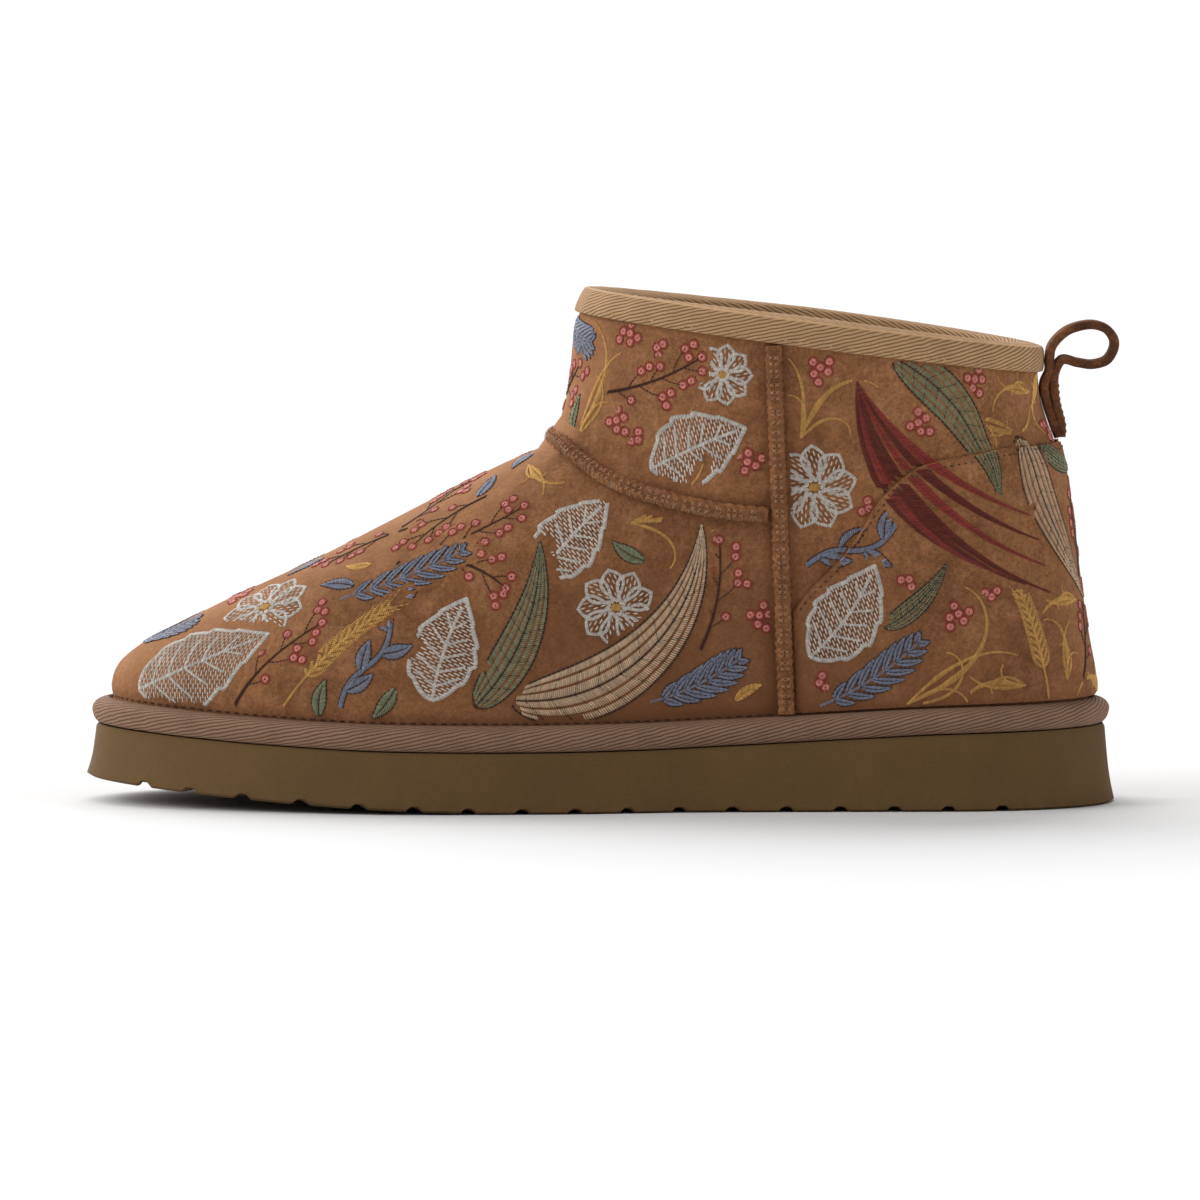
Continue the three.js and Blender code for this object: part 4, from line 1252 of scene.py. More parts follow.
def grow_locks(last, rng):
    """Curled locks all over the lining, and longer ones at the front of the rim."""
    s = last.s
    count = 1600
    turn = rng.uniform(0, 2, count)
    rise = 0.985 * rng.uniform(0.03, 1, count) ** 0.8
    rise = np.minimum(rise, 1 - last.rise_for(turn, 1 + 0 * turn, s.collar_tape_height + 0.001))
    root = last.skin(turn, rise, 0.0006 - s.upper_wall - s.fit - s.fleece_pile)
    curls("fleece_curls", root, -last.normal(turn, rise), rng, tall=0.0022)
    count = 480
    turn = rng.normal(0, 0.085, count)
    rise = 1 - last.rise_for(turn, 1 + 0 * turn, 0.0012 + 0 * turn)
    inset = s.upper_wall + 2 * s.fit + s.fleece_at_rim + s.tape_thickness + 0.0006
    root = last.skin(turn, rise, -inset - rng.uniform(0, 0.0016, count))
    upward = unit(np.array([0, 0, 1.0]) - 0.35 * last.normal(turn, rise))
    curls("fleece_tufts", root, upward, rng, tall=0.0026)


def curls(name, root, inward, rng, tall):
    """Short curled locks of wool, each a thin tube that winds round as it rises."""
    count = len(root)
    side = unit(np.cross(inward, rng.normal(0, 1, (count, 3))))
    other = np.cross(inward, side)
    stations, ring = 8, 3
    t = np.linspace(0, 1, stations)
    phase = rng.uniform(0, 2 * np.pi, count)[:, None]
    angle = phase + t * rng.uniform(4, 8, count)[:, None]
    radius = rng.uniform(0.0006, 0.0012, count)[:, None] * (1 - 0.3 * t)
    height = tall * rng.uniform(0.5, 1, count)[:, None] * np.sin(t * np.pi * 0.6)
    path = (
        root[:, None] + side[:, None] * (np.cos(angle) * radius)[..., None]
        + other[:, None] * (np.sin(angle) * radius)[..., None] + inward[:, None] * height[..., None]
    )
    ahead = unit(np.gradient(path, axis=1))
    across = unit(np.cross(ahead, inward[:, None] + 0.01))
    over = np.cross(ahead, across)
    thick = 0.00042 * (1 - 0.75 * t**3)[None, :, None]
    rings = [
        path + (across * math.cos(a) + over * math.sin(a)) * thick
        for a in (0.0, 2 * math.pi / 3, 4 * math.pi / 3)
    ]
    points = np.stack(rings, 2)
    uv = np.zeros((count, stations, ring, 2))
    uv[..., 0] = t[None, :, None] * 0.004
    uv[..., 1] = rng.uniform(0, 1, count)[:, None, None]
    faces = []
    for first in range(0, count * stations * ring, stations * ring):
        for i in range(stations - 1):
            a = first + i * ring
            for j in range(ring):
                k = (j + 1) % ring
                faces.append([a + j, a + k, a + ring + k, a + ring + j])
        end = first + (stations - 1) * ring
        faces.append([first + 2, first + 1, first])
        faces.append([end, end + 1, end + 2])
    piece = joined_piece(name, points, faces, uv)
    finish(piece, fleece_material(), angle=0)


def make_insole():
    last = Last()
    s = last.s
    rng = np.random.default_rng(SEED + 1)
    stations = 150
    turn = np.arange(stations + 1) / stations
    inset = -(s.upper_wall + s.fit + s.fleece_pile + 5 * s.fit)
    outer = last.level(turn, 0 * turn, inset) - last.shift
    inner = last.level(2 - turn, 0 * turn, inset) - last.shift
    x = (outer[:, 0] + inner[:, 0]) / 2
    outer[:, 0] = inner[:, 0] = x
    across = np.linspace(0, 1, 40)[None, :, None]
    top = outer[:, None] + (inner - outer)[:, None] * across
    edge = np.clip(np.minimum(across, 1 - across)[..., 0] * 12, 0, 1)
    crown = np.sqrt(1 - (1 - edge) ** 2) * np.clip(np.minimum(turn, 1 - turn) * 14, 0, 1)[:, None]
    lump = np.sin(top[..., 0] * 1500) * np.sin(top[..., 1] * 1400 + 1)
    lump = 0.00035 * (lump + rng.normal(0, 0.4, crown.shape))
    top[..., 2] = last.foot_z(top[..., 0]) + s.insole_thickness * (0.55 + 0.42 * crown) + lump * crown
    bottom = top[:, ::-8].copy()
    bottom[..., 2] = last.foot_z(bottom[..., 0])
    piece = grid_piece("insole_fleece", np.concatenate([top, bottom], 1) + last.shift)
    finish(piece, fleece_material(), ["insole"], angle=80)


# Pull loop

def make_loop():
    last = Last()
    s = last.s
    half = s.strap_thickness / 2

    def wall(drop):
        rise = 1 - last.rise_for(1.0, 1.0, drop)
        return last.face(1.0, rise)[[0, 2]]

    clear = s.fit + 1.15 * s.tape_thickness + s.fit + half
    near = 0.7 * s.fit + half
    t = s.strap_thickness
    plies = table(
        "down inner outer",
        (0.14, clear, clear + 0.65 * t), (0.32, near + 0.2 * s.fit, near + 1.08 * t),
        (0.56, near, near + 0.97 * t),
        (0.82, near + 0.5 * s.fit, near + 0.85 * t), (1, near + 0.5 * s.fit, near + 0.3 * t),
    )
    bow = table(
        "out up",
        (0, 0), (0.03, 0.34), (0.155, 0.61), (0.34, 0.81), (0.62, 0.91), (0.84, 0.83), (0.96, 0.64),
        (1, 0.43), (0.955, 0.18), (0.85, -0.01), (0.64, -0.09), (0.42, -0.04), (0.2, 0.03),
    )
    pinch = wall(s.pinch_drop) + np.array([clear, 0])

    def ply(column):
        return [
            wall(s.pinch_drop + row["down"] * s.tab_length) + np.array([row[column], 0])
            for row in plies
        ]

    reach = np.array([s.loop_reach - half, s.loop_height - s.strap_thickness])
    ring = [pinch + np.array([row["out"], row["up"]]) * reach for row in bow]
    path = smooth_path(np.array(ply("inner")[::-1] + ring + ply("outer")), 260)
    ahead = unit(np.gradient(path, axis=0))
    aside = np.stack([-ahead[:, 1], ahead[:, 0]], -1)
    angles = np.linspace(0, 2 * np.pi, 28, endpoint=False)
    thick = np.sign(np.cos(angles)) * np.abs(np.cos(angles)) ** 0.45 * half
    wide = np.sign(np.sin(angles)) * np.abs(np.sin(angles)) ** 0.22 * s.strap_width / 2
    rings = np.zeros((len(path), len(angles), 3))
    rings[..., 0] = path[:, None, 0] + aside[:, None, 0] * thick
    rings[..., 2] = path[:, None, 1] + aside[:, None, 1] * thick
    rings[..., 1] = wide
    # The strap's end under the tab is left open
    piece = grid_piece("pull_loop_strap", capped(rings)[:-1])
    material = suede_material("Strap suede", "strap", "seam", "stitch")
    finish(piece, material, ["pull_loop"], angle=45)
    drops = np.arange(0.3, 0.94, 0.085) * s.tab_length + s.pinch_drop
    outer_ply = path[len(path) * 5 // 8:]
    ends, normals = [], []
    for drop in drops:
        for hand in (-1, 1):
            for at in (drop, drop + 0.0012):
                z = wall(at)[1]
                outside = outer_ply[np.abs(outer_ply[:, 1] - z).argmin()]
                ends.append((outside[0] + half, hand * (s.strap_width / 2 - 0.0015), z))
            normals.append((1, 0, 0.1))
    piece = stitch_mesh(
        "pull_loop_stitches", np.array(ends).reshape(-1, 2, 3), unit(np.array(normals, float)),
        np.full(len(normals), 0.0006), 0.0002,
    )
    finish(piece, thread_material("Thread stitch", "stitch", 0.6), angle=0)
    rng = np.random.default_rng(SEED)
    count = 1500
    at = rng.integers(3, len(path) - 3, count)
    hand = rng.choice([-1, 1], count)
    shift = rng.uniform(-0.9, 0.9, count) * half
    root = np.stack([
        path[at, 0] + aside[at, 0] * shift, hand * (s.strap_width / 2 - 0.0002),
        path[at, 1] + aside[at, 1] * shift,
    ], -1)
    lean = np.stack([rng.normal(0, 0.6, count), hand, rng.normal(0, 0.6, count)], -1)
    tips = root + unit(lean) * rng.uniform(0.0003, 0.0009, count)[:, None]
    fuzz = hair_mesh("pull_loop_fuzz", root, tips, width=0.00016)
    finish(fuzz, thread_material("Strap fuzz", "strap", 0.9), angle=0)


# Embroidery: motifs in millimetres, as rows of x0, y0, x1, y1, width and thread

def stitches(a, b, width, thread):
    a, b = np.atleast_2d(a), np.atleast_2d(b)
    fill = np.full((len(a), 1), 1.0)
    return np.concatenate([a, b, fill * width, fill * THREAD_NUMBER[thread]], 1)


def moved(rows, x=0.0, y=0.0, angle=0.0, scale=1.0, flip=False):
    """Stitches turned, scaled and moved, and mirrored first where they flip."""
    rows = rows.copy()
    if flip:
        rows[:, [1, 3]] *= -1
    c, n = math.cos(angle) * scale, math.sin(angle) * scale
    for i in (0, 2):
        px, py = rows[:, i].copy(), rows[:, i + 1].copy()
        rows[:, i] = px * c - py * n + x
        rows[:, i + 1] = px * n + py * c + y
    return rows


def spine(size, bend, count, start=0.0):
    """Points and left-hand normals along an arc from the origin."""
    heading = start + bend * np.linspace(0, 1, count)
    middle = (heading[1:] + heading[:-1]) / 2
    step = np.stack([np.cos(middle), np.sin(middle)], -1) * size / (count - 1)
    points = np.concatenate([[[0, 0]], np.cumsum(step, 0)])
    return points, np.stack([-np.sin(heading), np.cos(heading)], -1)


def resample(path, step):
    path = np.asarray(path, float)
    reach = run_lengths(path)
    at = np.linspace(0, reach[-1], max(2, int(round(reach[-1] / step)) + 1))
    return np.stack([np.interp(at, reach, path[:, i]) for i in (0, 1)], -1)


def run(path, step, width, thread):
    """Back stitches along a path."""
    points = resample(path, step)
    return stitches(points[:-1], points[1:], width, thread)


def satin(path, width, step, thread, slant=0.35, thin=0.42):
    """Close stitches across a path, slanted along it."""
    points = resample(path, step)
    ahead = np.gradient(points, axis=0)
    ahead = ahead / np.linalg.norm(ahead, axis=1, keepdims=True)
    side = np.stack([-ahead[:, 1], ahead[:, 0]], -1)
    reach = (side + ahead * slant) * np.asarray(width).reshape(-1, 1) / 2
    return stitches(points - reach, points + reach, thin, thread)


def fill(outline, angle, gap, dash, space, width, thread):
    """Even rows of dashes inside an outline, set like bricks."""
    c, n = math.cos(angle), math.sin(angle)
    turn = np.array([[c, n], [-n, c]])
    shape = outline @ turn.T
    a, b = shape, np.roll(shape, -1, 0)
    parts = []
    for k, y in enumerate(np.arange(shape[:, 1].min() + gap / 2, shape[:, 1].max(), gap)):
        hit = (a[:, 1] > y) != (b[:, 1] > y)
        xs = np.sort(a[hit, 0] + (y - a[hit, 1]) / (b[hit, 1] - a[hit, 1]) * (b[hit, 0] - a[hit, 0]))
        for low, high in zip(xs[::2], xs[1::2]):
            grid = np.arange(math.floor(low / (dash + space)) - 1, high / (dash + space) + 1)
            first = (grid + 0.5 * (k % 2)) * (dash + space)
            left, right = np.maximum(first, low), np.minimum(first + dash, high)
            keep = right - left > 0.5
            row = np.full(keep.sum(), y)
            parts.append(stitches(
                np.stack([left[keep], row], -1), np.stack([right[keep], row], -1), width, thread
            ))
    rows = np.concatenate(parts)
    return moved(rows, angle=angle)


def heading_at(points, k):
    """The way a path heads at one of its points."""
    return math.atan2(*(points[k] - points[k - 1])[::-1])


def leaf_shape(size, width, bend, teeth=0, blunt=0.8, count=25):
    """A leaf's rib, and its left and right edges."""
    points, normals = spine(size, bend, count)
    t = np.linspace(0, 1, count)
    half = width / 2 * np.sin(np.pi * t**blunt) ** 0.9
    if teeth:
        half = half * (1 - 0.16 * ((t * teeth) % 1)) + 0.06 * width * np.sin(np.pi * t)
    return points, points + normals * half[:, None], points - normals * half[:, None]


def slim_leaf(size, width, bend=0.4, thread="blue", edge="ink"):
    """A leaf filled with satin from its rib, with a dark edge."""
    count = max(6, int(size / 0.55))
    points, left, right = leaf_shape(size, width, bend, count=count)
    skip = 2
    parts = []
    for tips in (right, left):
        parts.append(stitches(points[:-skip], tips[skip:], 0.5, thread))
        parts.append(run(tips, 1.3, 0.42, edge))
    parts.append(run(points, 1.3, 0.34, edge))
    return np.concatenate(parts)


def broad_leaf(size, width, bend=0.3, thread="white"):
    """A wide toothed leaf: thick satin edge and veins over an open fill."""
    points, left, right = leaf_shape(size, width, bend, teeth=5, count=46)
    outline = np.concatenate([left, right[::-1]])
    parts = [fill(outline, 1.25, 0.78, 2.1, 0.55, 0.4, thread)]
    parts.append(satin(left, 1.5, 0.46, thread))
    parts.append(satin(right, 1.5, 0.46, thread, -0.35))
    parts.append(satin(points[:-4], 1.1, 0.46, thread))
    for k in range(1, 6):
        root = points[int(k * 6.2)]
        for tips in (left, right):
            tip = tips[min(len(tips) - 1, int(k * 6.2) + 7)]
            parts.append(satin([root, root + (tip - root) * 0.72], 0.8, 0.46, thread))
    return np.concatenate(parts)


def long_frond(size, width, bend, thread="beige", edge="ink"):
    """A long bent blade: brick-like rows across it, dark ribs and a dark edge."""
    final = 59
    points, left, right = leaf_shape(size, width, bend, blunt=0.62, count=final + 1)
    parts = []
    t = np.linspace(0.02, 0.98, int(size / 0.62))
    at = np.arange(final + 1) / final
    for tips in (right, left):
        for k, (low, high) in enumerate(((0.0, 0.36), (0.36, 0.7), (0.7, 1.0))):
            shift = t + 0.004 * (k % 2)
            a = np.stack([np.interp(shift, at, points[:, i]) for i in (0, 1)], -1)
            b = np.stack([np.interp(shift + 0.03, at, tips[:, i]) for i in (0, 1)], -1)
            across = b - a
            row = stitches(a + across * (low + 0.02), a + across * (high - 0.03), 0.5, thread)
            parts.append(row)
    for tips in (left, right):
        parts.append(run(tips, 1.4, 0.5, edge))
        for k in range(3, final - 5, 5):
            end = points[k] + (tips[k + 4] - points[k]) * 0.86
            parts.append(run([points[k], end], 1.3, 0.3, edge))
    parts.append(run(points, 1.3, 0.4, edge))
    return np.concatenate(parts)


def berry(radius, thread="pink", edge="red"):
    """A round berry: satin rays and a ring."""
    angle = np.linspace(0, 2 * np.pi, 10, endpoint=False)
    ray = np.stack([np.cos(angle), np.sin(angle)], -1) * radius
    ring = np.stack([np.cos(angle + 0.3), np.sin(angle + 0.3)], -1) * radius
    parts = [stitches(ray * 0.1, ray * 0.78, 0.62, thread)]
    parts.append(stitches(ring, np.roll(ring, -1, 0), 0.5, edge))
    return np.concatenate(parts)


def twig(size, berries, bend):
    """A dark twig with side shoots, each ending in a berry."""
    points, normals = spine(size, bend, 30)
    width = np.linspace(1.3, 0.6, len(resample(points, 0.5)))
    parts = [satin(points, width, 0.5, "bark", 0.8, 0.36)]
    for k in range(berries):
        at = int(6 + k * 22 / berries)
        hand = 1 if k % 2 else -1
        reach = 5.5 + 2.5 * ((k * 7) % 3) / 2
        lean = heading_at(points, at) + hand * 0.85
        shoot, _ = spine(reach, -hand * 0.4, 8)
        parts.append(moved(run(shoot, 1.1, 0.45, "bark"), *points[at], lean))
        end = moved(stitches([shoot[-1]], [shoot[-1]], 1, "bark"), *points[at], lean)[0, :2]
        for dx, dy in ((0, 0), (2.6, 1.1), (0.9, -2.5))[: 1 + k % 3]:
            parts.append(moved(berry(1.45), end[0] + dx, end[1] + dy))
    parts.append(moved(berry(1.5), *points[-1]))
    return np.concatenate(parts)


def cluster(count, spread):
    """A close bunch of berries."""
    golden = 2.399963
    parts = []
    for k in range(count):
        radius, turn = spread * math.sqrt((k + 0.3) / count), k * golden
        parts.append(moved(berry(1.5), radius * math.cos(turn), radius * math.sin(turn)))
    return np.concatenate(parts)


def wheat(size, bend, thread="gold"):
    """An ear of grain: a stalk, pairs of full grains towards its tip, and long awns."""
    points, _ = spine(size, bend, 30)
    parts = [satin(points[:20], 0.9, 0.5, thread, 0.8)]
    for k in range(8, 30, 2):
        heading = heading_at(points, k)
        for hand in (-1, 1):
            grain = grain_of(6.6 - 0.08 * k, 3.0, thread)
            parts.append(moved(grain, *points[k], heading + hand * 0.55))
            if k > 18:
                awn, _ = spine(8, hand * 0.2, 6)
                parts.append(moved(run(awn, 1.6, 0.28, thread), *points[k], heading + hand * 0.3))
    return np.concatenate(parts)


def grain_of(size, width, thread):
    """A grain of close stitches on either side of its middle."""
    points, left, right = leaf_shape(size, width, 0.0, count=max(8, int(size / 0.5)))
    parts = [stitches(points[:-1], tips[1:], 0.46, thread) for tips in (right, left)]
    return np.concatenate(parts)


def fern(size, bend, thread="blue", edge="ink"):
    """A frond: a stalk with rows of slim leaflets on both sides."""
    points, _ = spine(size, bend, 26)
    parts = [satin(points, 0.9, 0.5, thread)]
    for k in range(3, 25, 3):
        heading = heading_at(points, k)
        reach = 8.5 * math.sin(math.pi * (k + 3) / 30) + 1.5
        for hand in (-1, 1):
            leaf = slim_leaf(reach, 2.3, -hand * 0.5, thread, edge)
            parts.append(moved(leaf, *points[k], heading + hand * 0.8))
    return np.concatenate(parts)


def vine(size, bend, thread="blue", edge="ink"):
    """A winding stem with leaves to either side."""
    t = np.linspace(0, 1, 50)
    points, normals = spine(size, bend, 50)
    path = points + normals * (1.8 * np.sin(t * 2.2 * np.pi * size / 30))[:, None]
    parts = [satin(path, 1.7, 0.48, thread, 0.6), run(path + normals * 0.9, 1.3, 0.3, edge)]
    parts.append(run(path - normals * 0.9, 1.3, 0.3, edge))
    for i, k in enumerate(range(6, 48, 9)):
        hand = 1 if i % 2 else -1
        leaf = slim_leaf(9.5, 4.4, -hand * 0.5, thread, edge)
        parts.append(moved(leaf, *path[k], heading_at(path, k) + hand * 0.9))
    return np.concatenate(parts)


def plume(size, spread, strands=7):
    """Feathery grass: broad strands that part from one stalk, each with a dark rib."""
    colours = ("wine", "red", "wine", "wine", "red")
    parts = []
    for k in range(strands):
        share = k / (strands - 1) - 0.5
        bend = 1.0 - spread * share * 1.4
        points, _ = spine(size * (1 - 0.5 * abs(share)), bend, 30, spread * share * 1.5 - 0.2)
        count = len(resample(points, 0.56))
        body = np.interp(np.linspace(0, 1, count), [0, 0.45, 1], [0.5, 3.0, 0.5])
        parts.append(satin(points, body, 0.56, colours[k % len(colours)], 0.9, 0.46))
        parts.append(run(points, 1.6, 0.32, "ink"))
    return np.concatenate(parts)


def scroll(size, bend, thread="gold"):
    """A tendril of slender strands that part and curl in at their ends."""
    parts = []
    for start, length, curl in ((0, 1, 1), (0.3, 0.78, -0.5), (-0.35, 0.6, 1.3), (0.12, 0.5, -1.1)):
        t = np.linspace(0, 1, 40)
        heading = start + curl * bend * t**2.2
        step = np.stack([np.cos(heading), np.sin(heading)], -1) * size * length / 39
        points = np.cumsum(step, 0)
        count = len(resample(points, 0.5))
        width = np.interp(np.linspace(0, 1, count), [0, 0.3, 1], [0.6, 2.1 * length, 0.5])
        parts.append(satin(points, width, 0.5, thread, 0.6))
    return np.concatenate(parts)


def spray(size, bend, thread="white"):
    """A soft round head of small petals in loose rows, like a blown seed head."""
    parts = []
    for k in range(9):
        angle = 2 * math.pi * k / 9
        _, left, right = leaf_shape(size * 0.42, size * 0.3, 0.0, blunt=1.3, count=16)
        rows = [satin(left, 1.1, 0.5, thread), satin(right, 1.1, 0.5, thread, -0.35)]
        rows.append(fill(np.concatenate([left, right[::-1]]), 0.2, 1.1, 1.6, 0.7, 0.38, thread))
        x, y = 0.08 * size * math.cos(angle), 0.08 * size * math.sin(angle)
        parts.append(moved(np.concatenate(rows), x, y, angle + bend))
    parts.append(satin(np.stack([np.linspace(-1.2, 1.2, 6), np.zeros(6)], -1), 2.4, 0.45, "gold"))
    return np.concatenate(parts)


# Each motif from the three sizes of its row, as its own function takes them
MOTIFS = {
    "broad": broad_leaf,
    "frond": long_frond,
    "green": lambda a, b, c: long_frond(a, b, c, "sage"),
    "slim": slim_leaf,
    "petal": lambda a, b, c: slim_leaf(a, b, c, "sage"),
    "ray": lambda a, b, c: slim_leaf(a, b, c, "gold", "gold"),
    "twig": twig,
    "cluster": lambda a, b, c: cluster(a, b),
    "wheat": lambda a, b, c: wheat(a, c),
    "fern": lambda a, b, c: fern(a, c),
    "grey": lambda a, b, c: fern(a, c, "beige"),
    "stem": lambda a, b, c: vine(a, c),
    "plume": lambda a, b, c: plume(a, b),
    "scroll": lambda a, b, c: scroll(a, c),
    "spray": lambda a, b, c: spray(a, c),
}

# Where each motif starts on the outer side, in millimetres in side view, the way it heads in
# degrees, and its own three sizes: length, width or count, and bend
LAYOUT = table(
    "motif x z angle a b c",
    ("broad", -132, 33, 24, 44, 24, 0.3), ("twig", -104, 30, 62, 34, 6, -0.4),
    ("wheat", -90, 30, 58, 40, 0, -0.3), ("spray", -96, 57, 0, 26, 0, 0.2),
    ("fern", -74, 60, 26, 38, 0, 0.3), ("stem", -74, 30, 56, 38, 0, 0.4),
    ("broad", -48, 32, 84, 30, 18, -0.3), ("green", -36, 30, 46, 52, 12, 0.9),
    ("twig", -58, 70, 30, 40, 7, 0.4), ("frond", -26, 32, -6, 84, 17, 1.75),
    ("broad", -18, 66, 60, 30, 17, -0.3), ("scroll", -46, 78, 20, 34, 0, 1.8),
    ("spray", 4, 58, 0, 22, 0, 0.5), ("twig", 28, 46, 64, 32, 6, 0.6),
    ("fern", 14, 31, 14, 28, 0, 0.4), ("scroll", 8, 82, 10, 34, 0, -1.6),
    ("scroll", -6, 106, 60, 36, 0, 1.7), ("twig", -1, 118, 8, 36, 7, 0.5),
    ("broad", 14, 97, 34, 30, 18, -0.2), ("spray", 34, 124, 0, 17, 0, 0.1),
    ("wheat", 0, 100, 12, 26, 0, 0.4), ("plume", 72, 122, -58, 88, 0.42, 0),
    ("green", 82, 129, -20, 54, 12, -0.9), ("spray", 60, 92, 0, 24, 0, 0.3),
    ("broad", 59, 44, 40, 32, 18, 0.5), ("stem", 58, 70, 14, 34, 0, 0.5),
    ("frond", 118, 106, -72, 56, 12, 0.6), ("scroll", 86, 30, 24, 46, 0, 2.2),
    ("twig", 94, 96, 20, 34, 7, -0.5), ("wheat", 126, 31, 98, 34, 0, 0.3),
    ("scroll", 56, 106, 70, 30, 0, -1.8), ("fern", 62, 30, 20, 34, 0, 0.4),
    ("scroll", 104, 112, -20, 30, 0, 1.8), ("twig", 112, 34, 80, 30, 5, 0.3),
)

# Chart of what is sewn: columns to each side and rows with their height, and a column's usual
# width. Share of a motif's stitches that must find room, tries for each small motif, and how
# far towards the toe they go
CHART_COLUMNS = 350
CHART_ROWS = 140
CHART_ROW_HEIGHT = 1.1 * MM
CHART_COLUMN_WIDTH = 0.83
LEAST_OF_MOTIF = 0.45
LEAST_OF_FILLER = 0.86
FILLER_TRIES = 420
FILLERS_FROM = -0.128

# Bare suede left beside the seams, the tapes and the strap
CLEAR_OF_SIDE_SEAM = 0.0032
CLEAR_OF_INSTEP_SEAM = 0.0036
CLEAR_OF_RIM_TAPE = 0.0012
CLEAR_OF_COLLAR_TAPE = 0.0004
CLEAR_OF_STRAP = 0.001

# Small motifs sewn into the gaps, larger ones first: their three sizes and the reach they need
FILLERS = table(
    "motif a b c reach",
    ("twig", 26, 5, 0.6, 9), ("green", 26, 6, 0.7, 8), ("scroll", 22, 0, 1.9, 7),
    ("fern", 20, 0, 0.5, 7), ("twig", 20, 4, -0.6, 7), ("grey", 18, 0, -0.5, 6),
    ("cluster", 6, 4.0, 0, 4.6), ("ray", 15, 3.6, 0.8, 4.5), ("slim", 12, 4.4, 0.5, 4),
    ("petal", 11, 4.4, -0.5, 4), ("cluster", 3, 2.4, 0, 3.2), ("ray", 9, 2.6, -0.6, 3),
)


def motif_of(row):
    return MOTIFS[row["motif"]](row["a"], row["b"], row["c"])


def allowed(last, turn, rise):
    """Where a stitch may lie: clear of the seams, the tapes and the pull loop."""
    side, instep = last.seam_gaps(turn, rise)
    around = last.around(turn)
    ahead = around < last.seam_turn(np.clip(rise, 0, 1))
    wall = 1 / last.rise_for(turn, rise, 1.0)
    clear = (turn > 0.004) & (turn < 0.996) & (np.abs(side) > CLEAR_OF_SIDE_SEAM)
    clear &= ~(ahead & (np.abs(instep) < CLEAR_OF_INSTEP_SEAM))
    clear &= rise * wall > last.s.rim_tape_height + CLEAR_OF_RIM_TAPE
    clear &= (1 - rise) * wall > last.s.collar_tape_height + CLEAR_OF_COLLAR_TAPE
    tab = last.s.strap_width / 2 + CLEAR_OF_STRAP
    aside = np.abs(last.face(turn, rise)[..., 1])
    by_strap = (around > 0.9) & (aside < tab) & (rise > 0.74)
    return clear & ~by_strap & (rise > 0) & (rise < 1)


def sewn_cells(last, turns, rises):
    """Cells of a chart of the upper that each stitch passes over."""
    share = np.array([0, 0.25, 0.5, 0.75, 1])
    turn = turns[:, :1] + (turns[:, 1:] - turns[:, :1]) * share
    rise = rises[:, :1] + (rises[:, 1:] - rises[:, :1]) * share
    column = np.mod(turn * CHART_COLUMNS, 2 * CHART_COLUMNS).astype(int)
    height = last.face(turn, rise)[..., 2]
    row = np.clip(height / CHART_ROW_HEIGHT, 0, CHART_ROWS - 1).astype(int)
    return column, row


def sew(last, taken, motif, turn, rise, heading, least):
    """Lays a motif down clear of what was sewn before, or nothing where too little can stay."""
    turns, rises = last.walk(turn, rise, heading, motif[:, :4].reshape(-1, 2) * MM)
    good = allowed(last, turns, rises).reshape(-1, 2).all(1)
    raised = last.on_counter(turns, rises).reshape(-1, 2)
    good &= raised[:, 0] == raised[:, 1]
    turns, rises = turns.reshape(-1, 2), rises.reshape(-1, 2)
    cells = sewn_cells(last, turns, rises)
    good &= ~taken[cells].any(1)
    if good.mean() < least:
        return []
    own = np.zeros_like(taken)
    own[cells[0][good], cells[1][good]] = True
    for way in ((1, 0), (-1, 0), (0, 1), (0, -1)):
        taken |= np.roll(own, way, (0, 1))
    return [np.concatenate([turns, rises, motif[:, 4:]], 1)[good]]


def fill_gaps(last, taken):
    """Sews small motifs wherever enough bare suede is left."""
    rng = np.random.default_rng(SEED)
    placed = []
    for row in FILLERS:
        motif = motif_of(row)
        ends = motif[:, :4].reshape(-1, 2)
        middle = (ends.max(0) + ends.min(0)) / 2
        motif = motif - np.concatenate([middle, middle, [0, 0]])
        tries = rng.uniform((0.03, 0.07), (0.985, 0.94), (FILLER_TRIES, 2))
        places = last.face(tries[:, 0], tries[:, 1])
        kept = places[:, 0] > FILLERS_FROM
        wide, tall = int(row["reach"] / CHART_COLUMN_WIDTH), int(row["reach"] / 1.3)
        for (turn, rise), place in zip(tries[kept], places[kept]):
            column, level = int(turn * CHART_COLUMNS), int(place[2] / CHART_ROW_HEIGHT)
            columns = slice(max(0, column - wide), column + wide + 1)
            rows = slice(max(0, level - tall), level + tall + 1)
            if taken[columns, rows].mean() < 0.1:
                heading = rng.uniform(0, 6.28)
                placed += sew(last, taken, motif, turn, rise, heading, LEAST_OF_FILLER)
    return placed


def make_embroidery():
    """Sews the motifs in their order, then small ones between them."""
    last = Last()
    placed = []
    taken = np.zeros((2 * CHART_COLUMNS, CHART_ROWS), bool)
    for row in LAYOUT:
        motif = motif_of(row)
        turn, rise = last.place(row["x"] * MM, row["z"] * MM)
        heading = math.radians(row["angle"])
        placed += sew(last, taken, motif, float(turn), float(rise), heading, LEAST_OF_MOTIF)
    placed += fill_gaps(last, taken)
    rows = np.concatenate(placed)
    for name in THREADS:
        chosen = rows[rows[:, 5] == THREAD_NUMBER[name]]
        for side, mirror in (("outer", 1), ("inner", -1)):
            turn = (chosen[:, :2] * mirror).reshape(-1)
            rise = chosen[:, 2:4].reshape(-1)
            points = last.skin(turn, rise, last.cover(turn, rise) + 0.00008).reshape(-1, 2, 3)
            normals = unit(last.normal(turn, rise).reshape(-1, 2, 3).sum(1))
            piece = stitch_mesh(
                "embroidery_" + name + "_" + side, points, normals, chosen[:, 4] * MM, 0.00024
            )
            finish(piece, thread_material("Thread " + name, name), angle=0)


# Stage

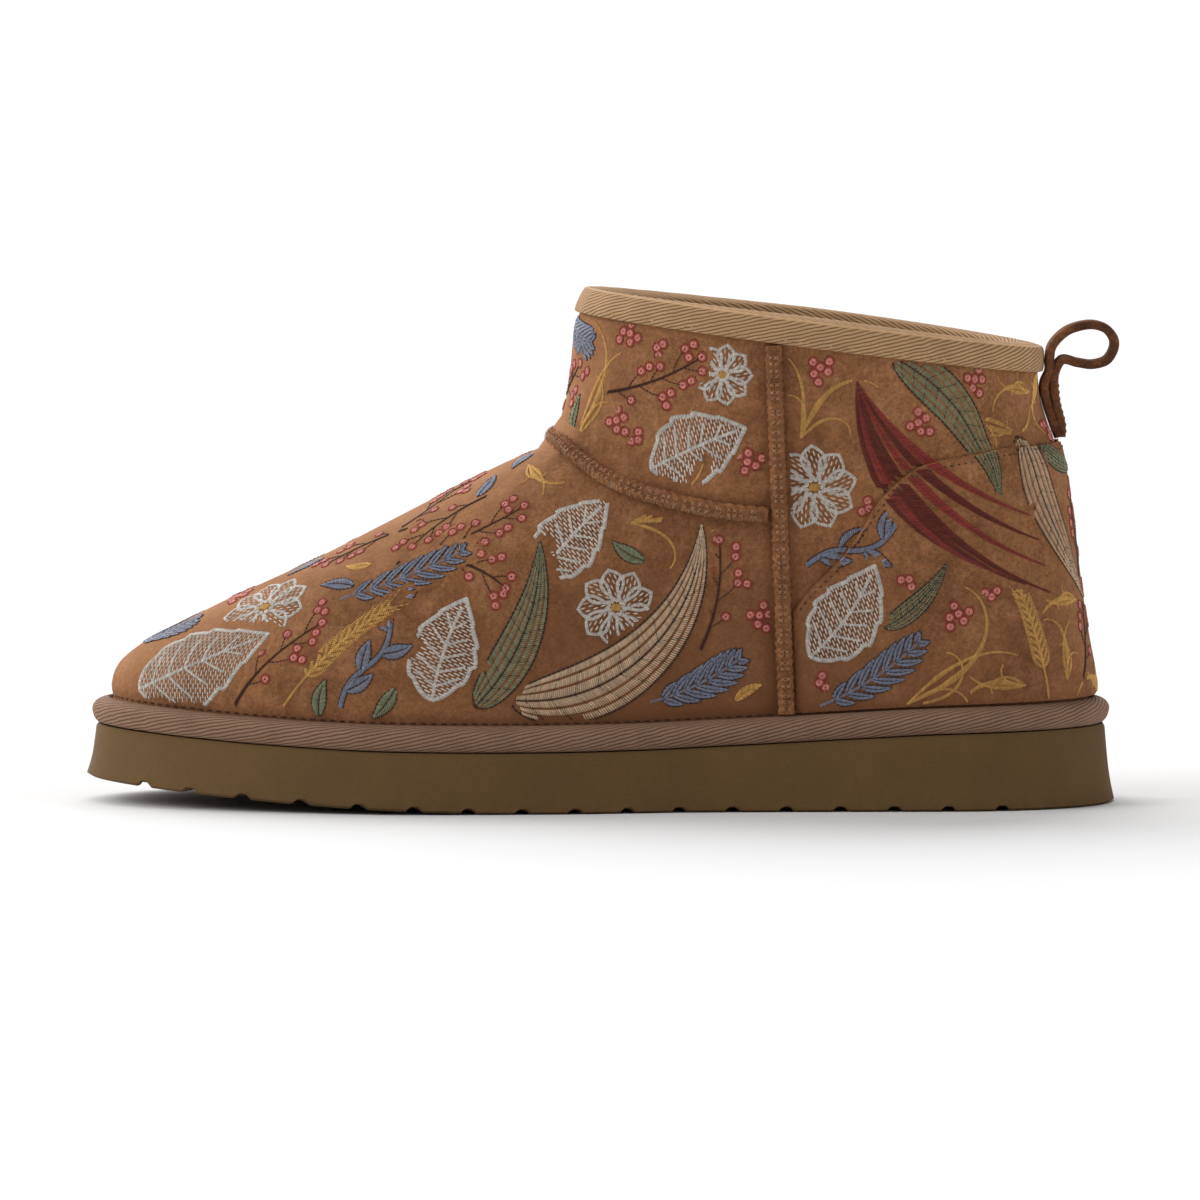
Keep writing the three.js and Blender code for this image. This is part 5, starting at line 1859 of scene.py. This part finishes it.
def make_floor():
    start_clean()
    bpy.ops.mesh.primitive_plane_add(size=1)
    floor = bpy.context.object
    floor.name = "floor"
    floor.data.transform(Matrix.Diagonal((120, 120, 1, 1)))
    material, tree, shader = new_material("Floor", 1.0, specular=0.0)
    shader.inputs["Base Color"].default_value = (0.8, 0.8, 0.8, 1)
    floor.data.materials.append(material)


def make_lights():
    """A white world, and three soft suns by the way they lie from the boot."""
    world = bpy.data.worlds.new("Studio")
    world.use_nodes = True
    world.node_tree.nodes["Background"].inputs["Color"].default_value = (1, 1, 1, 1)
    world.node_tree.nodes["Background"].inputs["Strength"].default_value = 0.33
    bpy.context.scene.world = world
    lamps = table(
        "name x y z spread strength",
        ("back", -0.3, 0.72, 0.62, 70, 3.4), ("toe", -0.8, -0.25, 0.55, 40, 1.5),
        ("heel", 0.9, -0.3, 0.32, 40, 0.6),
    )
    for row in lamps:
        light = bpy.data.lights.new(row["name"], "SUN")
        light.angle = math.radians(row["spread"])
        light.energy = row["strength"]
        lamp = bpy.data.objects.new(row["name"], light)
        lamp.rotation_euler = Vector((row["x"], row["y"], row["z"])).to_track_quat("Z", "Y").to_euler()
        bpy.context.collection.objects.link(lamp)


def make_camera():
    camera_data = bpy.data.cameras.new("camera")
    camera_data.lens = 313.8
    camera_data.sensor_width = 36
    camera_data.clip_end = 200
    camera = bpy.data.objects.new("camera", camera_data)
    bpy.context.collection.objects.link(camera)
    elevation, distance, aim = math.radians(3.6), 3.0, Vector((-0.00055, 0, 0.0575))
    back = Vector((0, -math.cos(elevation), math.sin(elevation)))
    camera.location = aim + back * distance
    camera.rotation_euler = (-back).to_track_quat("-Z", "Y").to_euler()
    bpy.context.scene.camera = camera


def make_stage():
    make_floor()
    make_lights()
    make_camera()
    bpy.context.scene.view_settings.view_transform = "Standard"


# Operators, one a piece or group of like pieces

class BOOT_OT_stage(bpy.types.Operator):
    """Sets the floor, the soft lights and the camera"""

    bl_idname = "boot.stage"
    bl_label = "Stage"

    def execute(self, context):
        make_stage()
        return {"FINISHED"}


class BOOT_OT_outsole(bpy.types.Operator):
    """Makes the foam outsole with its flared wall and grooved tread"""

    bl_idname = "boot.outsole"
    bl_label = "Outsole"

    def execute(self, context):
        make_outsole()
        return {"FINISHED"}


class BOOT_OT_upper(bpy.types.Operator):
    """Makes the suede upper with its creases"""

    bl_idname = "boot.upper"
    bl_label = "Upper"

    def execute(self, context):
        make_upper()
        return {"FINISHED"}


class BOOT_OT_counter(bpy.types.Operator):
    """Makes the suede overlay round the heel"""

    bl_idname = "boot.counter"
    bl_label = "Heel counter"

    def execute(self, context):
        make_counter()
        return {"FINISHED"}


class BOOT_OT_seams(bpy.types.Operator):
    """Makes the raised seams with their threads and fuzz"""

    bl_idname = "boot.seams"
    bl_label = "Raised seams"

    def execute(self, context):
        make_seams()
        return {"FINISHED"}


class BOOT_OT_tapes(bpy.types.Operator):
    """Makes the woven tapes round the collar and the sole"""

    bl_idname = "boot.tapes"
    bl_label = "Woven tapes"

    def execute(self, context):
        make_collar_tape()
        make_rim_tape()
        return {"FINISHED"}


class BOOT_OT_stitches(bpy.types.Operator):
    """Sews the rows of stitches along the tapes and the counter"""

    bl_idname = "boot.stitches"
    bl_label = "Stitch rows"

    def execute(self, context):
        make_stitches()
        return {"FINISHED"}


class BOOT_OT_fleece(bpy.types.Operator):
    """Makes the fleece lining and the insole"""

    bl_idname = "boot.fleece"
    bl_label = "Fleece"

    def execute(self, context):
        make_lining()
        make_insole()
        return {"FINISHED"}


class BOOT_OT_loop(bpy.types.Operator):
    """Makes the pull loop"""

    bl_idname = "boot.loop"
    bl_label = "Pull loop"

    def execute(self, context):
        make_loop()
        return {"FINISHED"}


class BOOT_OT_embroidery(bpy.types.Operator):
    """Embroiders leaves, berries, grain and grasses on both sides"""

    bl_idname = "boot.embroidery"
    bl_label = "Embroidery"

    def execute(self, context):
        make_embroidery()
        return {"FINISHED"}


OPERATORS = (
    BOOT_OT_stage, BOOT_OT_outsole, BOOT_OT_upper, BOOT_OT_counter, BOOT_OT_seams,
    BOOT_OT_tapes, BOOT_OT_stitches, BOOT_OT_fleece, BOOT_OT_loop, BOOT_OT_embroidery,
)


class BOOT_PT_sidebar(bpy.types.Panel):
    """Lists the boot's pieces, sizes and colours"""

    bl_idname = "BOOT_PT_sidebar"
    bl_label = "Fur-lined boot"
    bl_space_type = "VIEW_3D"
    bl_region_type = "UI"
    bl_category = "Boot"

    def draw(self, context):
        for operator in OPERATORS:
            self.layout.operator(operator.bl_idname)
        for group in (context.scene.boot_sizes, context.scene.boot_colours):
            box = self.layout.box()
            for name in group.bl_rna.properties.keys():
                if name not in ("rna_type", "name"):
                    box.prop(group, name)


CLASSES = (BootSizes, BootColours, *OPERATORS, BOOT_PT_sidebar)


def register():
    for cls in CLASSES:
        bpy.utils.register_class(cls)
    bpy.types.Scene.boot_sizes = bpy.props.PointerProperty(type=BootSizes)
    bpy.types.Scene.boot_colours = bpy.props.PointerProperty(type=BootColours)


def unregister():
    del bpy.types.Scene.boot_colours
    del bpy.types.Scene.boot_sizes
    for cls in reversed(CLASSES):
        bpy.utils.unregister_class(cls)


def main():
    register()
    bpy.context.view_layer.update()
    bpy.ops.boot.stage()
    bpy.ops.boot.outsole()
    bpy.ops.boot.upper()
    bpy.ops.boot.counter()
    bpy.ops.boot.seams()
    bpy.ops.boot.tapes()
    bpy.ops.boot.stitches()
    bpy.ops.boot.fleece()
    bpy.ops.boot.loop()
    bpy.ops.boot.embroidery()


if __name__ == "__main__":
    main()
